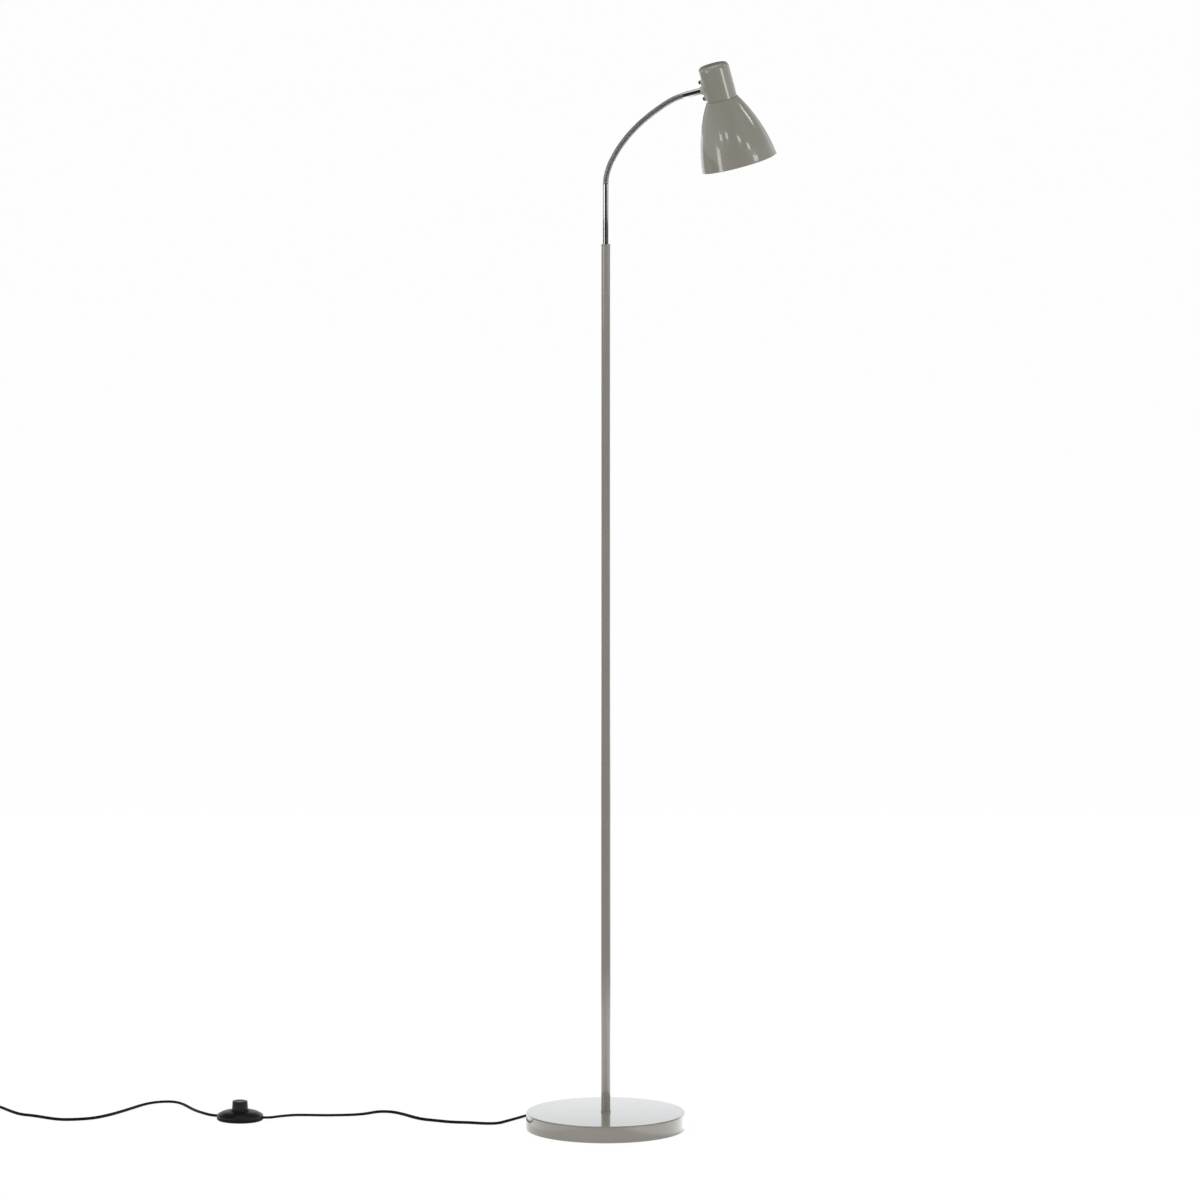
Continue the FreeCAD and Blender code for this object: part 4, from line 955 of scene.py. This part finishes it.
class LAMP_OT_neck(bpy.types.Operator):
    """Wound flexible neck in lengths, each shaped round one joint, with its chromed sleeve and
    ferrule
    """

    bl_idname = "lamp.neck"
    bl_label = "Wind the neck"

    sides = 40
    steps_per_link = 48
    crest = 4.0 * MM
    bead_fullness = 0.6
    tuck_depth = 9 * MM

    def execute(self, context):
        # Each winding bends round one joint, between the middles of the runs on either side.
        joints = neck_joints()
        half = (joints[1] - joints[0]).length / 2
        stations = [joints[0] - Vector((0, 0, half))]
        stations += [(a + b) / 2 for a, b in zip(joints, joints[1:])]
        stations.append(joints[-1] + HEAD_WAY * half)
        gone = 0.0
        for i, joint in enumerate(joints):
            line = rounded_bend(stations[i], joint, stations[i + 1], self.steps_per_link)
            if i == 0:
                line = self.tucked(line[0], Vector((0, 0, -1)))[::-1][:-1] + line
            if i == len(joints) - 1:
                line = line + self.tucked(line[-1], HEAD_WAY)[1:]
            nodes = ["neck_foot_turns"] if i == 0 else [f"neck_link_{i:02d}"]
            if i == len(joints) - 1:
                nodes.append("neck_end_turns")
            piece = self.winding(f"neck_winding_{i + 1:02d}", line, gone, context)
            gone += line_length(line)
            piece.data.materials.append(wound_steel())
            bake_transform(piece)
            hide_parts(*nodes)
        self.sleeve()
        self.ferrule()
        return {"FINISHED"}

    def tucked(self, point, way, steps=27):
        """The straight run that is hidden in the sleeve or the ferrule."""
        return [point + way * (self.tuck_depth * i / steps) for i in range(steps + 1)]

    def winding(self, name, line, gone, context):
        """Tube whose surface is one helical bead, wound round the line."""
        sizes = context.scene.lamp_sizes
        side = Vector((0, 1, 0))
        shape = bmesh.new()
        rings = []
        for i, point in enumerate(line):
            if i:
                gone += (point - line[i - 1]).length
            up = way_at(line, i).cross(side).normalized()
            ring = []
            for k in range(self.sides):
                turn = k / self.sides
                phase = (gone / sizes.turn_pitch + turn) % 1.0
                bead = abs(math.sin(math.pi * phase)) ** self.bead_fullness
                radius = self.crest - sizes.turn_depth * (1 - bead)
                angle = 2 * math.pi * turn
                ring.append(shape.verts.new(
                    point + side * (radius * math.cos(angle)) + up * (radius * math.sin(angle))))
            rings.append(ring)
        skin(shape, rings)
        return put_in_scene(name, smooth_mesh(shape, name, 70))

    def sleeve(self):
        """Chromed tube on the pole's top, out of which the neck comes."""
        low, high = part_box("neck_sleeve")
        radius = (high[0] - low[0]) / 2
        bore = radius - 0.4 * MM
        piece = spun("neck_lower_sleeve", softened([
            (bore, low[2]), (radius, low[2]), (radius, high[2], 0.5 * MM), (bore, high[2]),
        ]))
        finish(piece, bright_chrome(), "stand", ("neck_sleeve",))

    def ferrule(self):
        """Chromed tube at the neck's head end, in the head's own frame."""
        start = -ARM_REACH
        end = -22.9 * MM
        radius = 4.5 * MM
        bore = 4.1 * MM
        piece = spun("neck_upper_ferrule", softened([
            (bore, 0), (radius, 0, 0.5 * MM), (radius, end - start), (bore, end - start),
        ]), HEAD_PLACE @ along_x(start), segments=96)
        finish(piece, bright_chrome(), "head", ("neck_ferrule",))


# ---------------------------------------------------------------- head
class LAMP_OT_head(bpy.types.Operator):
    """Spun bell shade with its lining, the collar over the holder and the arm's saddle"""

    bl_idname = "lamp.head"
    bl_label = "Finish the shade and collar"

    collar_radius = 21.5 * MM
    collar_foot = -18 * MM
    rim_height = -110.4 * MM

    def execute(self, context):
        segments = context.scene.lamp_sizes.round_segments
        self.shade(segments)
        self.collar(segments)
        self.saddle_screws()
        dress(saddle_paint(), "arm_saddle")
        dress(zinc_steel(), "arm_nipple", "arm_nut", "holder_bracket", "holder_nipple",
              "holder_nut")
        dress(lead_sheath(), "head_lead")
        return {"FINISHED"}

    def bell(self, offset, steps=28):
        """Points of the bell's one long curve from the shoulder to the rim, moved inwards."""
        shoulder = Vector((22.8 * MM, self.collar_foot - 1.6 * MM))
        waist = Vector((42.5 * MM, self.collar_foot - 43.6 * MM))
        rim = Vector((53.7 * MM, self.rim_height))
        middle = circle_middle(shoulder, waist, rim)
        radius = (rim - middle).length
        first = math.atan2(*(shoulder - middle).yx)
        last = math.atan2(*(rim - middle).yx)
        reach = radius - offset
        return [
            middle + Vector((math.cos(a), math.sin(a))) * reach
            for a in (first + (last - first) * i / steps for i in range(steps + 1))
        ]

    def shade(self, segments):
        """Bell with a flange over the holder, a hem rolled inwards and a lining of its own."""
        wall = 0.8 * MM
        neck = self.collar_radius - 1.2 * MM
        mouth = 14.2 * MM
        flange = self.collar_foot + 3 * MM
        outside = self.bell(0)
        inside = self.bell(wall)[::-1]
        rim = outside[-1]
        hem = [rim + Vector(step) * MM for step in (
            (0, 1.1), (0.1, 0.55), (-0.3, 0.1), (-1.0, 0.05), (-1.7, 0.25), (-2.0, 0.85),
            (-1.85, 1.65), (-1.5, 2.15))]
        throat = [Vector((neck, flange)), Vector((neck, self.collar_foot + 0.3 * MM)),
                  Vector((neck + 0.9 * MM, self.collar_foot - 0.2 * MM)),
                  Vector((neck + 1.8 * MM, self.collar_foot - 0.5 * MM))]
        lining = [Vector((neck - wall, self.collar_foot - 0.6 * MM)),
                  Vector((neck - wall, flange - wall)), Vector((mouth, flange - wall))]
        outline = throat + outside[:-1] + hem + inside[1:] + lining + [Vector((mouth, flange))]
        lined = range(len(throat) + len(outside) + len(hem) - 3, len(outline) - 2)
        bands = [1 if k in lined else 0 for k in range(len(outline))]
        piece = spun("bell_shade", [tuple(p) for p in outline], HEAD_PLACE, segments * 2,
                     bands=bands)
        piece.data.materials.append(enamel())
        piece.data.materials.append(shade_lining())
        finish(piece, enamel(), "head", ("shade",))

    def collar(self, segments):
        """Cup with a well rounded top edge and an open foot."""
        wall = 0.8 * MM
        radius = self.collar_radius
        top = ARM_BELOW_COLLAR_TOP
        foot = self.collar_foot
        outline = softened([
            (0, top - wall), (radius - wall, top - wall, 7.7 * MM), (radius - wall, foot),
            (radius - 0.12 * MM, foot), (radius, foot + 0.12 * MM), (radius, top, 8.5 * MM),
            (0, top),
        ], 10)
        piece = spun("collar_cap", outline, HEAD_PLACE, segments * 2, closed=False)
        finish(piece, enamel(), "head", ("collar_cup",))

    def saddle_screws(self):
        """Two round-headed screws, each with the part of its shank that enters the saddle."""
        seat = self.collar_radius + 1.4 * MM
        for name, height in (("upper", 11.75 * MM), ("lower", -11.75 * MM)):
            outline = [(0, 0), (0.8 * MM, 0.04 * MM), (1.6 * MM, 0.4 * MM), (2.3 * MM, 1.1 * MM),
                       (2.65 * MM, 1.8 * MM), (2.7 * MM, 2.6 * MM), (1.5 * MM, 2.65 * MM),
                       (1.5 * MM, 6 * MM), (0, 6 * MM)]
            place = HEAD_PLACE @ Matrix.Translation((0, 0, height)) @ along_x(-seat - 2.6 * MM)
            piece = spun(f"saddle_screw_{name}", outline, place, 48, closed=False)
            replaced = ("saddle_screws",) if name == "upper" else ()
            finish(piece, dark_screw_steel(), "head", replaced)


def circle_middle(a, b, c):
    """Middle of the circle through three points of a plane."""
    ab, ac = b - a, c - a
    cross = 2 * (ab.x * ac.y - ab.y * ac.x)
    u = (ac.y * ab.length_squared - ab.y * ac.length_squared) / cross
    v = (ab.x * ac.length_squared - ac.x * ab.length_squared) / cross
    return a + Vector((u, v))


def dark_screw_steel():
    return surface("Darkened screw steel", (0.09, 0.09, 0.095), drift=0.15, patch=200, grain=1500,
                   smooth=0.3, rough=0.45, bump=0.06, depth=0.02 * MM, Metallic=0.8)


def saddle_paint():
    return surface("Light grey saddle", (0.46, 0.45, 0.42), drift=0.03, patch=30, grain=700,
                   smooth=0.25, rough=0.33, bump=0.05, depth=0.02 * MM)


class LAMP_OT_bulb(bpy.types.Operator):
    """Lamp holder, its ring and thread, and the opal bulb"""

    bl_idname = "lamp.bulb"
    bl_label = "Fit the bulb"

    def execute(self, context):
        dress(white_moulding(), "lampholder", "holder_ring")
        dress(yellow_brass(), "thread_shell", "centre_contact")
        dress(zinc_steel(), "bulb_cap")
        end = -90 * MM
        radius = 22.5 * MM
        middle = end + radius
        outline = [(0, end)]
        steps = 40
        last = math.asin(0.62)
        for i in range(1, steps + 1):
            angle = (math.pi - last) * i / steps
            outline.append((radius * math.sin(angle), middle - radius * math.cos(angle)))
        outline += [(10.9 * MM, -43 * MM), (10.0 * MM, -39 * MM), (9.0 * MM, -36 * MM),
                    (7.5 * MM, -33.1 * MM), (0, -33 * MM)]
        piece = spun("opal_bulb", outline, HEAD_PLACE, 96, closed=False)
        finish(piece, opal_glass(), "head", ("bulb_globe",))
        return {"FINISHED"}


# ---------------------------------------------------------------- foot switch and plug
class LAMP_OT_switch(bpy.types.Operator):
    """Round black foot switch with its domed cover and push button"""

    bl_idname = "lamp.switch"
    bl_label = "Finish the foot switch"

    def execute(self, context):
        segments = context.scene.lamp_sizes.round_segments
        outer = 32.5 * MM
        dress(black_cord(), "switch_base")
        hole = 11.65 * MM
        cover = spun("switch_dome", softened([
            (30.5 * MM, 5.0 * MM), (outer, 5.0 * MM), (outer, 6.8 * MM, 0.8 * MM),
            (30.5 * MM, 8.4 * MM, 1.5 * MM), (24.0 * MM, 11.8 * MM, 4 * MM),
            (14.4 * MM, 13.5 * MM, 1.2 * MM), (13.1 * MM, 14.5 * MM, 0.5 * MM),
            (hole, 14.5 * MM, 0.2 * MM), (hole, 12.7 * MM), (13.1 * MM, 12.1 * MM),
            (23.4 * MM, 9.9 * MM), (30.0 * MM, 6.4 * MM),
        ]), SWITCH_PLACE, segments)
        finish(cover, black_plastic(), "stand", ("switch_cover",))
        button = spun("switch_push", softened([
            (8.3 * MM, 10.2 * MM), (12.5 * MM, 10.2 * MM), (12.5 * MM, 11.7 * MM, 0.2 * MM),
            (11.3 * MM, 11.7 * MM), (11.3 * MM, 14.5 * MM), (10.6 * MM, 26.7 * MM, 1.9 * MM),
            (8.0 * MM, 26.65 * MM), (7.3 * MM, 26.3 * MM), (0, 26.3 * MM),
        ], 7) + [(0, 23.7 * MM), (8.3 * MM, 23.7 * MM)], SWITCH_PLACE, segments)
        finish(button, black_plastic(), "button", ("switch_button",))
        dress(white_moulding(), "switch_cartridge")
        dress(zinc_steel(), "switch_screws")
        dress(lead_sheath(), "switch_leads")
        declare_cord("lamp_cord", LAMP_SIDE_ROUTE)
        return {"FINISHED"}


class LAMP_OT_plug(bpy.types.Operator):
    """Flat black two-pin plug with its tapered sleeve"""

    bl_idname = "lamp.plug"
    bl_label = "Finish the plug"

    def execute(self, context):
        dress(black_plastic(), "plug_body", "plug_relief")
        dress(yellow_brass(), "plug_pins")
        declare_cord("plug_cord", plug_cord_route())
        return {"FINISHED"}


# ---------------------------------------------------------------- panel and registration
class LAMP_PT_panel(bpy.types.Panel):
    """Lists the lamp's settings and the steps that build it"""

    bl_idname = "LAMP_PT_panel"
    bl_label = "Reading Lamp"
    bl_space_type = "VIEW_3D"
    bl_region_type = "UI"
    bl_category = "Reading Lamp"

    def draw(self, context):
        layout = self.layout
        for settings in (context.scene.lamp_sizes, context.scene.lamp_finishes,
                         context.scene.lamp_studio):
            box = layout.box()
            for name in settings.__annotations__:
                box.prop(settings, name)
        for operator in OPERATORS:
            layout.operator(operator.bl_idname)


OPERATORS = (
    LAMP_OT_stage, LAMP_OT_cord, LAMP_OT_base, LAMP_OT_pole, LAMP_OT_neck, LAMP_OT_head,
    LAMP_OT_bulb, LAMP_OT_switch, LAMP_OT_plug,
)
CLASSES = (LampSizes, LampFinishes, StudioSettings) + OPERATORS + (LAMP_PT_panel,)


def register():
    for item in CLASSES:
        bpy.utils.register_class(item)
    bpy.types.Scene.lamp_sizes = PointerProperty(type=LampSizes)
    bpy.types.Scene.lamp_finishes = PointerProperty(type=LampFinishes)
    bpy.types.Scene.lamp_studio = PointerProperty(type=StudioSettings)


def unregister():
    del bpy.types.Scene.lamp_studio
    del bpy.types.Scene.lamp_finishes
    del bpy.types.Scene.lamp_sizes
    for item in reversed(CLASSES):
        bpy.utils.unregister_class(item)


def main():
    register()
    bpy.ops.lamp.stage()
    bpy.ops.lamp.cord()
    bpy.ops.lamp.base()
    bpy.ops.lamp.pole()
    bpy.ops.lamp.neck()
    bpy.ops.lamp.head()
    bpy.ops.lamp.bulb()
    bpy.ops.lamp.switch()
    bpy.ops.lamp.plug()


if __name__ == "__main__":
    main()
